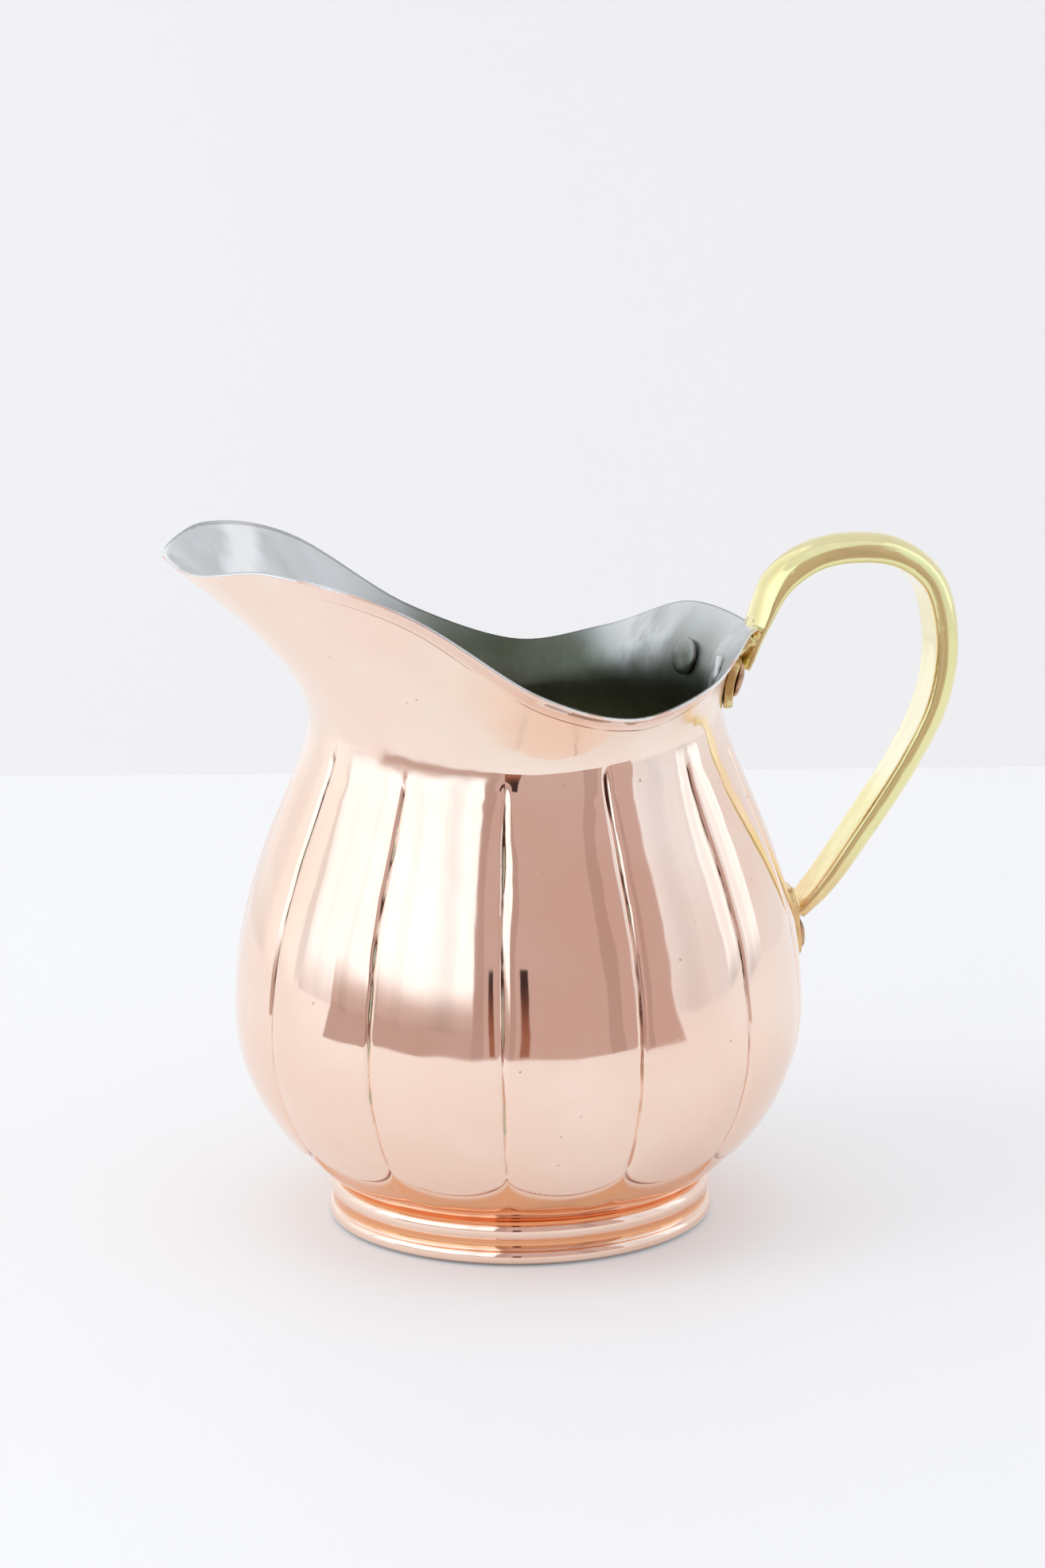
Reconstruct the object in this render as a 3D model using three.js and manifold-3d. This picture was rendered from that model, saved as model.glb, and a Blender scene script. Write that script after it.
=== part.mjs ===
// Copper frothing pitcher: a fluted, hand-raised body with a tinned inside, a moulded foot ring
// soldered under it, and a cast brass strap handle riveted to the neck and to the belly.
// Millimetres, +Z up, standing on z = 0. The spout points along -X and the handle along +X.
import * as THREE from 'three';
import ManifoldModule from 'manifold-3d';

const manifold = await ManifoldModule();
manifold.setup();

// ---- Driving dimensions -------------------------------------------------------------------
const WALL = 0.9; // copper sheet
const TIN = 0.3; // tin coat
const GAP = 0.3; // clearance between pieces that touch
const BASE_RADIUS = 27; // flat of the bottom
const BASE_HEIGHT = 5.4;
const UNDERSIDE_RADIUS = 33; // where the bottom runs into the belly
const BELLY_RADIUS = 54.15;
const BELLY_HEIGHT = 41.3;
const BELLY_DROP = 43.2; // half height of the ellipse that the lower belly follows
const SHOULDER_RISE = 27; // how far the widest part stays upright before it draws in
const NECK_RADIUS = 38.9;
const NECK_DRAW = 0.7; // draws the shoulder in: how much wider the sheet still is under the neck
const NECK_RUN = 11; // and how far under the neck that is
const LOBES = 13;
const LOBE_PHASE = 2.5; // the lobes stand this far round from the spout, degrees
const CREASE_DEPTH = 0.7;
const CREASE_BOTTOM = 16; // creases run between these two heights
const CREASE_TOP = 95;
const CREASE_FADE = 5; // length over which a crease runs out at each end
const CREASE_SHARPNESS = 4;
const COLUMN_SHARES = [0, 0.12, 0.3, 0.5, 0.7, 0.88]; // across one lobe, from crease to crease
const TURN_STEPS = 2;
const BELLY_STEPS = 5;
const SHOULDER_STEPS = 6;
const FLARE_STEPS = 5;

// Mouth: angle from the spout in degrees, reach of the rim from the axis, height of the rim, height
// of the neck under it, and the share of the rise that stays upright before it flares. Mirrored on
// the far side.
const MOUTH = [
  [0, 65.3, 128.7, 97.5, 0.34],
  [14, 65.5, 128.9, 97.2, 0.34],
  [30, 61.5, 130.9, 96.0, 0.32],
  [54, 57.3, 125.6, 94.2, 0.28],
  [80, 50.2, 109.6, 93.4, 0.22],
  [105, 43.1, 103.0, 94.5, 0.25],
  [130, 43.7, 106.2, 96.5, 0.40],
  [155, 44.4, 112.6, 98.3, 0.58],
  [180, 46.9, 110.9, 99.0, 0.66],
];
const REACH = 1;
const RIM_HEIGHT = 2;
const NECK_HEIGHT = 3;
const UPRIGHT_SHARE = 4;

const FOOT_INNER_RADIUS = 33.6;
const FLOOR_RADIUS = 35.2; // outer edge of the flat that stands on the table
const UPPER_BEAD = { radius: 34.8, height: 6.9, size: 1.2, from: -40, to: 75 };
const LOWER_BEAD = { radius: 35.0, height: 2.9, size: 1.75, from: -60, to: 50 };
const BEAD_STEPS = 5;
const GROOVE = { radius: 35.6, height: 5.1 }; // between the beads
const FOOT_TOP_CLEARANCE = 0.1; // beyond the gap, for the facets of the belly
const SOLDER_CLEARANCE = 0.15;
const SOLDER_WIDTH = 1.7;
const SOLDER_DEPTH = 1.5; // down the inside of the ring
const SOLDER_HOLLOW = { across: 0.9, down: 1.1 }; // corner that makes the fillet hollow
const RING_SEGMENTS = 52;

const STRAP_WIDTH = 10.8;
const STRAP_WIDTH_LOWER = 9.2;
const STRAP_STEPS = 36;
const LUG_THICKNESS = 1.7;
const LUG_HALF_WIDTH = 14.2;
const LUG_BOTTOM = 97.6;
const LUG_TOP = 107.4;
const LUG_CORNER = 3;
const TAB_THICKNESS = 2.0;
const TAB_BOTTOM = 45.8;
const TAB_TOP = 60;
const PLATE_ZONE = { from: 20, length: 60 }; // plates are cut from the wall this far along +X
const OUTLINE_SEGMENTS = 6;

const SHANK_RADIUS = 1.6;
const HEAD_RADIUS = 3.3;
const HEAD_HEIGHT = 1.2;
const HEAD_STEPS = 4;
const RIVET_SEGMENTS = 16;
const HOLE_LENGTH = 14;
const UPPER_RIVET_HEIGHT = 103.6;
const UPPER_RIVET_ANGLE = 15; // each side of the handle's plane, degrees
const LOWER_RIVET_HEIGHT = 50.2;
const UPPER_HEAD_LIFT = 0.2; // the upper outer heads lie across the curve of the neck
const UPPER_HEAD_SEAT = 0.3;

// Centre line of the strap in the handle's plane: distance from the axis, height, thickness.
const STRAP = [
  [43.6, 103.6, 2.4],
  [47.2, 112.0, 4.2],
  [51.4, 119.8, 5.0],
  [58.0, 124.0, 5.2],
  [66.0, 125.3, 5.4],
  [75.4, 123.8, 5.5],
  [82.4, 118.2, 5.6],
  [85.3, 107.0, 5.7],
  [83.6, 94.5, 5.5],
  [78.0, 83.3, 5.3],
  [68.6, 69.8, 5.0],
  [61.0, 59.8, 4.4],
  [55.7, 54.6, 3.0],
];

// ---- Small helpers ------------------------------------------------------------------------
const radians = THREE.MathUtils.degToRad;
const smoothstep = THREE.MathUtils.smoothstep;

// A point at an angle from the spout, a reach from the axis and a height.
function around(angle, reach, height) {
  return new THREE.Vector3(-reach * Math.cos(angle), -reach * Math.sin(angle), height);
}

// Smooth value through [angle, value, ...] stations that repeat mirrored past both ends.
function throughStations(stations, column, degrees) {
  const last = stations.length - 1;
  const folded = Math.abs(((degrees + 540) % 360) - 180);
  let i = 0;
  while (i < last - 1 && folded > stations[i + 1][0]) i += 1;
  const mirrored = (k) => {
    if (k < 0) return [-stations[1][0], stations[1][column]];
    if (k > last) return [2 * stations[last][0] - stations[last - 1][0], stations[last - 1][column]];
    return [stations[k][0], stations[k][column]];
  };
  const [before, from, to, after] = [i - 1, i, i + 1, i + 2].map(mirrored);
  const span = to[0] - from[0];
  const t = (folded - from[0]) / span;
  const slopeFrom = ((to[1] - before[1]) / (to[0] - before[0])) * span;
  const slopeTo = ((after[1] - from[1]) / (after[0] - from[0])) * span;
  const t2 = t * t;
  const t3 = t2 * t;
  return (2 * t3 - 3 * t2 + 1) * from[1] + (t3 - 2 * t2 + t) * slopeFrom
    + (3 * t2 - 2 * t3) * to[1] + (t3 - t2) * slopeTo;
}

function indexedGeometry(points, triangles) {
  const geometry = new THREE.BufferGeometry();
  const numbers = points.flatMap((p) => [p.x, p.y, p.z]);
  geometry.setAttribute('position', new THREE.Float32BufferAttribute(numbers, 3));
  geometry.setIndex(triangles);
  return geometry;
}

// Closes rows of points into one body: each row is a ring, and each end is drawn to one point.
function closeRings(first, rows, last) {
  const columns = rows[0].length;
  const points = [first, ...rows.flat(), last];
  const triangles = [];
  const at = (row, column) => 1 + row * columns + (column % columns);
  const end = points.length - 1;
  for (let c = 0; c < columns; c += 1) {
    triangles.push(0, at(0, c + 1), at(0, c));
    for (let r = 0; r < rows.length - 1; r += 1) {
      triangles.push(at(r, c), at(r, c + 1), at(r + 1, c));
      triangles.push(at(r, c + 1), at(r + 1, c + 1), at(r + 1, c));
    }
    triangles.push(at(rows.length - 1, c), at(rows.length - 1, c + 1), end);
  }
  return indexedGeometry(points, triangles);
}

function toSolid(geometry) {
  const positions = geometry.getAttribute('position');
  const corners = geometry.getIndex()?.array ?? [...Array(positions.count).keys()];
  const mesh = new manifold.Mesh({
    numProp: 3,
    vertProperties: Float32Array.from(positions.array),
    triVerts: Uint32Array.from(corners),
  });
  mesh.merge();
  return new manifold.Manifold(mesh);
}

function toGeometry(solid) {
  const mesh = solid.getMesh();
  const geometry = new THREE.BufferGeometry();
  geometry.setAttribute('position', new THREE.BufferAttribute(mesh.vertProperties, 3));
  geometry.setIndex(new THREE.BufferAttribute(mesh.triVerts, 1));
  return geometry;
}

// ---- Body surface -------------------------------------------------------------------------
// Reach and height up the outside at one angle, from the edge of the flat bottom to the neck.
function lowerMeridian(degrees) {
  const drop = BELLY_DROP * Math.sqrt(1 - (UNDERSIDE_RADIUS / BELLY_RADIUS) ** 2);
  const start = new THREE.Vector2(UNDERSIDE_RADIUS, BELLY_HEIGHT - drop);
  const slope = (BELLY_DROP ** 2 * start.x) / (BELLY_RADIUS ** 2 * drop);
  const corner = new THREE.Vector2(start.x - (start.y - BASE_HEIGHT) / slope, BASE_HEIGHT);
  const turn = new THREE.QuadraticBezierCurve(new THREE.Vector2(BASE_RADIUS, BASE_HEIGHT), corner, start);
  const startAngle = Math.asin(drop / BELLY_DROP);
  const belly = new THREE.EllipseCurve(0, BELLY_HEIGHT, BELLY_RADIUS, BELLY_DROP, -startAngle, 0);
  const neckHeight = throughStations(MOUTH, NECK_HEIGHT, degrees);
  const shoulder = new THREE.CubicBezierCurve(
    new THREE.Vector2(BELLY_RADIUS, BELLY_HEIGHT),
    new THREE.Vector2(BELLY_RADIUS, BELLY_HEIGHT + SHOULDER_RISE),
    new THREE.Vector2(NECK_RADIUS + NECK_DRAW, neckHeight - NECK_RUN),
    new THREE.Vector2(NECK_RADIUS, neckHeight),
  );
  return [
    ...turn.getPoints(TURN_STEPS),
    ...belly.getPoints(BELLY_STEPS).slice(1),
    ...shoulder.getPoints(SHOULDER_STEPS).slice(1),
  ];
}

// Reach and height from the neck up to the rim at one angle.
function flareMeridian(degrees, steps) {
  const [reach, height, neckHeight, uprightShare] = [REACH, RIM_HEIGHT, NECK_HEIGHT, UPRIGHT_SHARE]
    .map((column) => throughStations(MOUTH, column, degrees));
  const flare = new THREE.QuadraticBezierCurve(
    new THREE.Vector2(NECK_RADIUS, neckHeight),
    new THREE.Vector2(NECK_RADIUS, THREE.MathUtils.lerp(neckHeight, height, uprightShare)),
    new THREE.Vector2(reach, height),
  );
  return flare.getPoints(steps).slice(1);
}

// How far the crease between two lobes sinks at this angle and height, as a share of its depth.
function creaseShare(degrees, height) {
  const lobe = 360 / LOBES;
  const turns = (degrees - LOBE_PHASE) / lobe;
  const fromMiddle = Math.abs(turns - Math.round(turns)) * 2;
  const along = smoothstep(height, CREASE_BOTTOM, CREASE_BOTTOM + CREASE_FADE)
    * (1 - smoothstep(height, CREASE_TOP - CREASE_FADE, CREASE_TOP));
  return fromMiddle ** CREASE_SHARPNESS * along;
}

// The meridian at one angle, moved in by `inset` along its own normal and, at the rim, on by `lip`.
function insetMeridian(degrees, inset, lip, depth) {
  const line = [...lowerMeridian(degrees), ...flareMeridian(degrees, FLARE_STEPS)];
  return line.map((point, i) => {
    const before = line[Math.max(i - 1, 0)];
    const after = line[Math.min(i + 1, line.length - 1)];
    const along = i === 0 ? new THREE.Vector2(1, 0) : after.clone().sub(before).normalize();
    const onwards = i === line.length - 1 ? lip : 0;
    const reach = point.x - inset * along.y + onwards * along.x - depth * creaseShare(degrees, point.y);
    return new THREE.Vector2(reach, point.y + inset * along.x + onwards * along.y);
  });
}

// Six columns to a lobe, closest together beside its creases.
function columnAngles() {
  const angles = [];
  for (let k = 0; k < LOBES; k += 1) {
    COLUMN_SHARES.forEach((share) => angles.push(LOBE_PHASE + ((k + 0.5 + share) * 360) / LOBES));
  }
  return angles;
}

// Rings of the body surface moved in by `inset`, from the flat bottom up to the rim.
function bodyRings(inset, { lip = 0, depth = CREASE_DEPTH } = {}) {
  const columns = columnAngles().map((degrees) => {
    const side = insetMeridian(degrees, inset, lip, depth);
    return side.map((point) => around(radians(degrees), point.x, point.y));
  });
  return columns[0].map((_, row) => columns.map((column) => column[row]));
}

// A vessel wall between two insets, open at the mouth.
function vesselGeometry(outerInset, innerInset) {
  const outside = bodyRings(outerInset);
  const inside = bodyRings(innerInset).reverse();
  const under = new THREE.Vector3(0, 0, BASE_HEIGHT + outerInset);
  const over = new THREE.Vector3(0, 0, BASE_HEIGHT + innerInset);
  return closeRings(under, [...outside, ...inside], over);
}

// Everything inside the body surface grown by `growth`, bridging the creases, and closed over at
// the mouth with the gap that other pieces keep from the edge of the rim.
function bodyVolume(growth) {
  const smooth = { lip: GAP, depth: 0 };
  const under = new THREE.Vector3(0, 0, BASE_HEIGHT - growth);
  const mouth = new THREE.Vector3(0, 0, MOUTH[0][NECK_HEIGHT]);
  const insideOfRim = bodyRings(WALL + GAP + TIN + GAP, smooth).at(-1);
  return toSolid(closeRings(under, [...bodyRings(-growth, smooth), insideOfRim], mouth));
}

// Point on the outside of the wall and the direction straight out of it.
function wallAt(degrees, height) {
  const fineSteps = 24;
  const reachAt = (z) => {
    const line = [...lowerMeridian(degrees), ...flareMeridian(degrees, fineSteps)];
    const i = line.findIndex((point) => point.y >= z);
    const share = (z - line[i - 1].y) / (line[i].y - line[i - 1].y);
    return THREE.MathUtils.lerp(line[i - 1].x, line[i].x, share);
  };
  const step = 1;
  const lean = (reachAt(height + step) - reachAt(height - step)) / (2 * step);
  const point = around(radians(degrees), reachAt(height), height);
  const out = around(radians(degrees), 1, -lean).normalize();
  return { point, out };
}

// ---- Rivets -------------------------------------------------------------------------------
// `seat` is how far the inner head stands off the lining, and `lift` the outer head off its plate.
// The lower rivet spans a crease.
const upperRivet = (side) => ({
  ...wallAt(180 + side * UPPER_RIVET_ANGLE, UPPER_RIVET_HEIGHT),
  plate: LUG_THICKNESS,
  lift: UPPER_HEAD_LIFT,
  seat: UPPER_HEAD_SEAT,
});
const RIVETS = {
  upper_rivet_left: upperRivet(-1),
  upper_rivet_right: upperRivet(1),
  lower_rivet: { ...wallAt(180, LOWER_RIVET_HEIGHT), plate: TAB_THICKNESS, lift: 0, seat: CREASE_DEPTH },
};

// Stands a shape whose axis is +Y on the wall, with +Y pointing out of the wall.
function standOnWall(geometry, place) {
  const turn = new THREE.Quaternion().setFromUnitVectors(new THREE.Vector3(0, 1, 0), place.out);
  return geometry.applyQuaternion(turn).translate(place.point.x, place.point.y, place.point.z);
}

function rivetGeometry(place) {
  const outer = GAP + place.plate + GAP + place.lift;
  const inner = -(WALL + GAP + TIN + GAP + place.seat);
  const dome = new THREE.EllipseCurve(0, 0, HEAD_RADIUS, HEAD_HEIGHT, 0, Math.PI / 2).getPoints(HEAD_STEPS);
  const profile = [
    ...dome.toReversed().map((p) => new THREE.Vector2(p.x, inner - p.y)),
    new THREE.Vector2(SHANK_RADIUS, inner),
    new THREE.Vector2(SHANK_RADIUS, outer),
    ...dome.map((p) => new THREE.Vector2(p.x, outer + p.y)),
  ];
  profile[0].x = 0;
  profile[profile.length - 1].x = 0;
  return standOnWall(new THREE.LatheGeometry(profile, RIVET_SEGMENTS), place);
}

function rivetHole(place) {
  const radius = SHANK_RADIUS + GAP;
  const hole = new THREE.CylinderGeometry(radius, radius, HOLE_LENGTH, RIVET_SEGMENTS);
  return toSolid(standOnWall(hole, place));
}

function cutRivetHoles(solid, places) {
  return places.reduce((rest, place) => rest.subtract(rivetHole(place)), solid);
}

// ---- Vessel and foot ----------------------------------------------------------------------
function bodyShellGeometry() {
  return toGeometry(cutRivetHoles(toSolid(vesselGeometry(0, WALL)), Object.values(RIVETS)));
}

function tinLiningGeometry() {
  const outside = WALL + GAP;
  return toGeometry(cutRivetHoles(toSolid(vesselGeometry(outside, outside + TIN)), Object.values(RIVETS)));
}

// Height of the outside of the belly above the floor at a reach near the foot.
function undersideHeight(reach) {
  return BELLY_HEIGHT - BELLY_DROP * Math.sqrt(1 - (reach / BELLY_RADIUS) ** 2);
}

function beadPoints(bead) {
  const arc = new THREE.EllipseCurve(
    bead.radius, bead.height, bead.size, bead.size, radians(bead.from), radians(bead.to),
  );
  return arc.getPoints(BEAD_STEPS);
}

function footRingGeometry() {
  const innerTop = undersideHeight(FOOT_INNER_RADIUS) - GAP - FOOT_TOP_CLEARANCE;
  const profile = [
    new THREE.Vector2(FOOT_INNER_RADIUS, 0),
    new THREE.Vector2(FLOOR_RADIUS, 0),
    ...beadPoints(LOWER_BEAD),
    new THREE.Vector2(GROOVE.radius, GROOVE.height),
    ...beadPoints(UPPER_BEAD),
    new THREE.Vector2(FOOT_INNER_RADIUS, innerTop),
    new THREE.Vector2(FOOT_INNER_RADIUS, 0),
  ];
  return new THREE.LatheGeometry(profile, RING_SEGMENTS).rotateX(Math.PI / 2);
}

// Fillet of solder in the corner between the foot ring and the underside of the belly.
function footSolderGeometry() {
  const outer = FOOT_INNER_RADIUS - GAP;
  const inner = outer - SOLDER_WIDTH;
  const top = undersideHeight(outer) - GAP;
  const profile = [
    new THREE.Vector2(outer, top - SOLDER_DEPTH),
    new THREE.Vector2(outer, top - SOLDER_CLEARANCE),
    new THREE.Vector2(inner, undersideHeight(inner) - GAP - SOLDER_CLEARANCE),
    new THREE.Vector2(inner + SOLDER_HOLLOW.across, top - SOLDER_HOLLOW.down),
    new THREE.Vector2(outer, top - SOLDER_DEPTH),
  ];
  return new THREE.LatheGeometry(profile, RING_SEGMENTS).rotateX(Math.PI / 2);
}

// ---- Handle -------------------------------------------------------------------------------
// Flat inner face, rounded edges and a crowned outer face, as shares of width and thickness.
const STRAP_SECTION = [
  [-0.45, -0.5], [0.45, -0.5], [0.5, -0.34], [0.5, 0], [0.4, 0.26], [0.2, 0.44], [0, 0.5],
  [-0.2, 0.44], [-0.4, 0.26], [-0.5, 0], [-0.5, -0.34],
];

function strapSolid() {
  const line = new THREE.CatmullRomCurve3(STRAP.map(([x, z]) => new THREE.Vector3(x, 0, z)));
  const thickness = new THREE.SplineCurve(STRAP.map((station, i) => new THREE.Vector2(i, station[2])));
  const rows = [];
  for (let i = 0; i <= STRAP_STEPS; i += 1) {
    const share = i / STRAP_STEPS;
    const centre = line.getPoint(share);
    const along = line.getTangent(share);
    const outward = new THREE.Vector3(-along.z, 0, along.x);
    const deep = thickness.getPoint(share).y;
    const wide = THREE.MathUtils.lerp(STRAP_WIDTH, STRAP_WIDTH_LOWER, share);
    rows.push(STRAP_SECTION.map(([across, out]) => centre.clone()
      .addScaledVector(outward, out * deep)
      .add(new THREE.Vector3(0, across * wide, 0))));
  }
  return toSolid(closeRings(line.getPoint(0), rows, line.getPoint(1)));
}

// A plate of even thickness that lies on the wall, cut to an outline seen along the X axis.
function wallPlate(outline, thickness) {
  const slab = bodyVolume(GAP + thickness).subtract(bodyVolume(GAP));
  const prism = new THREE.ExtrudeGeometry(outline, {
    depth: PLATE_ZONE.length, bevelEnabled: false, curveSegments: OUTLINE_SEGMENTS,
  });
  // The outline's x runs along +Y and its y along +Z, so the depth runs along +X.
  prism.applyMatrix4(new THREE.Matrix4().makeBasis(
    new THREE.Vector3(0, 1, 0), new THREE.Vector3(0, 0, 1), new THREE.Vector3(1, 0, 0),
  ));
  prism.translate(PLATE_ZONE.from, 0, 0);
  return slab.intersect(toSolid(prism));
}

// Broad lug under the rim: two round-ended wings that sweep up into the strap.
function lugOutline() {
  const corner = LUG_CORNER;
  const side = STRAP_WIDTH / 2;
  const outline = new THREE.Shape();
  outline.moveTo(-LUG_HALF_WIDTH + corner, LUG_BOTTOM);
  outline.lineTo(LUG_HALF_WIDTH - corner, LUG_BOTTOM);
  outline.quadraticCurveTo(LUG_HALF_WIDTH, LUG_BOTTOM, LUG_HALF_WIDTH, LUG_BOTTOM + corner);
  outline.lineTo(LUG_HALF_WIDTH, LUG_TOP - corner);
  outline.quadraticCurveTo(LUG_HALF_WIDTH, LUG_TOP, LUG_HALF_WIDTH - corner, LUG_TOP);
  outline.quadraticCurveTo(side, LUG_TOP, side, LUG_TOP + corner);
  outline.lineTo(-side, LUG_TOP + corner);
  outline.quadraticCurveTo(-side, LUG_TOP, -LUG_HALF_WIDTH + corner, LUG_TOP);
  outline.quadraticCurveTo(-LUG_HALF_WIDTH, LUG_TOP, -LUG_HALF_WIDTH, LUG_TOP - corner);
  outline.lineTo(-LUG_HALF_WIDTH, LUG_BOTTOM + corner);
  outline.quadraticCurveTo(-LUG_HALF_WIDTH, LUG_BOTTOM, -LUG_HALF_WIDTH + corner, LUG_BOTTOM);
  return outline;
}

// Round-ended tab on the belly.
function tabOutline() {
  const half = STRAP_WIDTH_LOWER / 2;
  const outline = new THREE.Shape();
  outline.moveTo(half, TAB_BOTTOM + half);
  outline.lineTo(half, TAB_TOP);
  outline.lineTo(-half, TAB_TOP);
  outline.lineTo(-half, TAB_BOTTOM + half);
  outline.absarc(0, TAB_BOTTOM + half, half, Math.PI, 2 * Math.PI, false);
  return outline;
}

function handleGeometry() {
  const plates = wallPlate(lugOutline(), LUG_THICKNESS).add(wallPlate(tabOutline(), TAB_THICKNESS));
  const strap = strapSolid().subtract(bodyVolume(GAP));
  return toGeometry(cutRivetHoles(strap.add(plates), Object.values(RIVETS)));
}

// ---- Assembly -----------------------------------------------------------------------------
const COPPER = { color: 0xe0a184, roughness: 0.12, metalness: 1 };
const TINNED = { color: 0xb9bcbc, roughness: 0.42, metalness: 1 };
const BRASS = { color: 0xd9c98a, roughness: 0.2, metalness: 1 };
const DARK_COPPER = { color: 0x8a5a3c, roughness: 0.35, metalness: 1 };
const SOLDER = { color: 0x8f8d86, roughness: 0.5, metalness: 1 };

function part(name, geometry, finish) {
  const mesh = new THREE.Mesh(geometry, new THREE.MeshStandardMaterial(finish));
  mesh.name = name;
  return mesh;
}

const pitcher = new THREE.Group();
pitcher.add(part('body_shell', bodyShellGeometry(), COPPER));
pitcher.add(part('tin_lining', tinLiningGeometry(), TINNED));
pitcher.add(part('foot_ring', footRingGeometry(), COPPER));
pitcher.add(part('foot_solder', footSolderGeometry(), SOLDER));
pitcher.add(part('handle', handleGeometry(), BRASS));
for (const [name, place] of Object.entries(RIVETS)) {
  pitcher.add(part(name, rivetGeometry(place), DARK_COPPER));
}

// The origin is under the middle of the whole pitcher, spout and handle included.
const extent = new THREE.Box3().setFromObject(pitcher);
pitcher.position.x = -(extent.min.x + extent.max.x) / 2;

export default pitcher;
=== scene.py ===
"""Copper frothing pitcher: a fluted, hand-raised body tinned inside, a moulded foot ring, and a
cast brass strap handle held by three rivets. Shapes are worked out in millimetres from the
body's axis and stored in metres in the row frame."""

import math

import bmesh
import bpy
import numpy as np
from mathutils import Matrix, Vector, noise


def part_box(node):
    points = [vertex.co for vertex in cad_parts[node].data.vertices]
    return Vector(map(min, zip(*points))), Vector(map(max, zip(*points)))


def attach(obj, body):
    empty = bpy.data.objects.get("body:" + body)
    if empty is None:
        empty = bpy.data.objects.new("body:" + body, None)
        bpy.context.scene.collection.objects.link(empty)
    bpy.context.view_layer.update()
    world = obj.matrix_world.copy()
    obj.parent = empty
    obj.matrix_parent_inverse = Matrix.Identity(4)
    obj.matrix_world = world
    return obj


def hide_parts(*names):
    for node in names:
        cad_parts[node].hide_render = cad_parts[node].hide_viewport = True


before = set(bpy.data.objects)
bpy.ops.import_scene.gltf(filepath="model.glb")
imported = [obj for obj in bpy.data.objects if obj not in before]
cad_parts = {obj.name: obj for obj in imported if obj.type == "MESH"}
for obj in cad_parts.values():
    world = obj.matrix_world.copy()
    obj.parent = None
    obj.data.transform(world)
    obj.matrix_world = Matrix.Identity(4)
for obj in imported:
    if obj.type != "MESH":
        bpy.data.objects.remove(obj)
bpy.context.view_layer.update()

MM = 0.001
FOOT_LOW, FOOT_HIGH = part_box("foot_ring")
AXIS_X = (FOOT_LOW.x + FOOT_HIGH.x) / 2
AXIS = AXIS_X / MM

# ---- Body dimensions, in millimetres and degrees from the spout ------
WALL = 0.95
OVERLAP = 0.1  # how far the copper and the tin run into each other, out of sight
LINING_OUTER = 0.9  # how deep the back of the tin lies under the outside of the copper
LINING_INNER = 1.25
BASE_RADIUS = 27.0
BASE_HEIGHT = 5.4
UNDERSIDE_RADIUS = 33.0
BELLY_RADIUS = 54.15
BELLY_HEIGHT = 41.3
BELLY_DROP = 43.2
SHOULDER_RISE = 27.0
NECK_RADIUS = 38.9
NECK_DRAW = 0.7
NECK_RUN = 11.0
MOUTH_ANGLES = [0, 14, 30, 54, 80, 105, 130, 155, 180]
RIM_REACH = [65.3, 65.5, 61.5, 57.3, 50.2, 43.1, 43.7, 44.4, 46.9]
RIM_HEIGHT = [128.7, 128.9, 130.9, 125.6, 109.6, 103.0, 106.2, 112.6, 110.9]
NECK_HEIGHT = [97.5, 97.2, 96.0, 94.2, 93.4, 94.5, 96.5, 98.3, 99.0]
UPRIGHT_SHARE = [0.34, 0.34, 0.32, 0.28, 0.22, 0.25, 0.40, 0.58, 0.66]
LOBES = 13
LOBE_DEGREES = 360.0 / LOBES
LOBE_PHASE = 2.5
SCALLOP_CUSP = 20.7
SCALLOP_LOW = 15.5
SCALLOP_STEP = 0.4
SCALLOP_GROOVE = 0.36
CREASE_TOPS = [96.5, 93.5, 92.0, 96.5, 95.5, 94.0, 95.0, 93.0, 96.0, 94.5, 92.5, 95.5, 94.0]
BROAD_DEPTH = 0.42
NARROW_DEPTH = 0.42
NARROW_WIDTH = 0.5
RIM_FILLET = 0.18
RIM_SHEET = 0.5  # the sheet is drawn thinner towards the rim
RIM_TIN = 0.75
TIN_SHORT = 0.25  # how far the tin's back stops under the rim
TIN_RIDGE = 0.3  # each crease shows inside as a low ridge

# Unevenness of the sheet, in millimetres
INSET = 0.02  # keeps the copper inside the CAD model
BROAD_UNEVEN = 0.095
FINE_UNEVEN = 0.034
DENT_DEPTH = 0.05
NECK_DENTS = (84.0, 103.0)  # heights between which the sheet shows small tool marks
TIN_UNEVEN = 1.6  # the tin's unevenness as a share of the copper's

# Rows of points: on the flat base, its turn, the belly where the lobes end, the shoulder, the flare
BODY_ROWS = (6, 6, 36, 50, 34)
BODY_INSIDE_ROWS = (3, 2, 6, 8, 10)
LINING_ROWS = (6, 5, 20, 40, 34)
WALL_ROWS = (6, 6, 24, 50, 44)
FIRST_ROW = 1.5  # reach of the innermost row
ROWS_CLOSE = (2.2, 1.5)  # how far under and over the lobes' ends the rows are close together
COLUMNS_PER_LOBE = 34
BUNCHING = 0.72  # how far the columns draw together at the creases
UNDERSIDE_SINE = math.sqrt(1 - (UNDERSIDE_RADIUS / BELLY_RADIUS) ** 2)


def smoothstep(x, low, high):
    t = np.clip((x - low) / (high - low), 0.0, 1.0)
    return t * t * (3.0 - 2.0 * t)


def hermite(t, start, start_slope, end, end_slope):
    """Cubic from one value to another with a slope at each end."""
    t2 = t * t
    t3 = t2 * t
    return ((2 * t3 - 3 * t2 + 1) * start + (t3 - 2 * t2 + t) * start_slope
            + (3 * t2 - 2 * t3) * end + (t3 - t2) * end_slope)


def from_spout(degrees):
    """Angle from the spout on either side, from 0 to 180 degrees."""
    return np.abs((degrees + 540.0) % 360.0 - 180.0)


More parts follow.
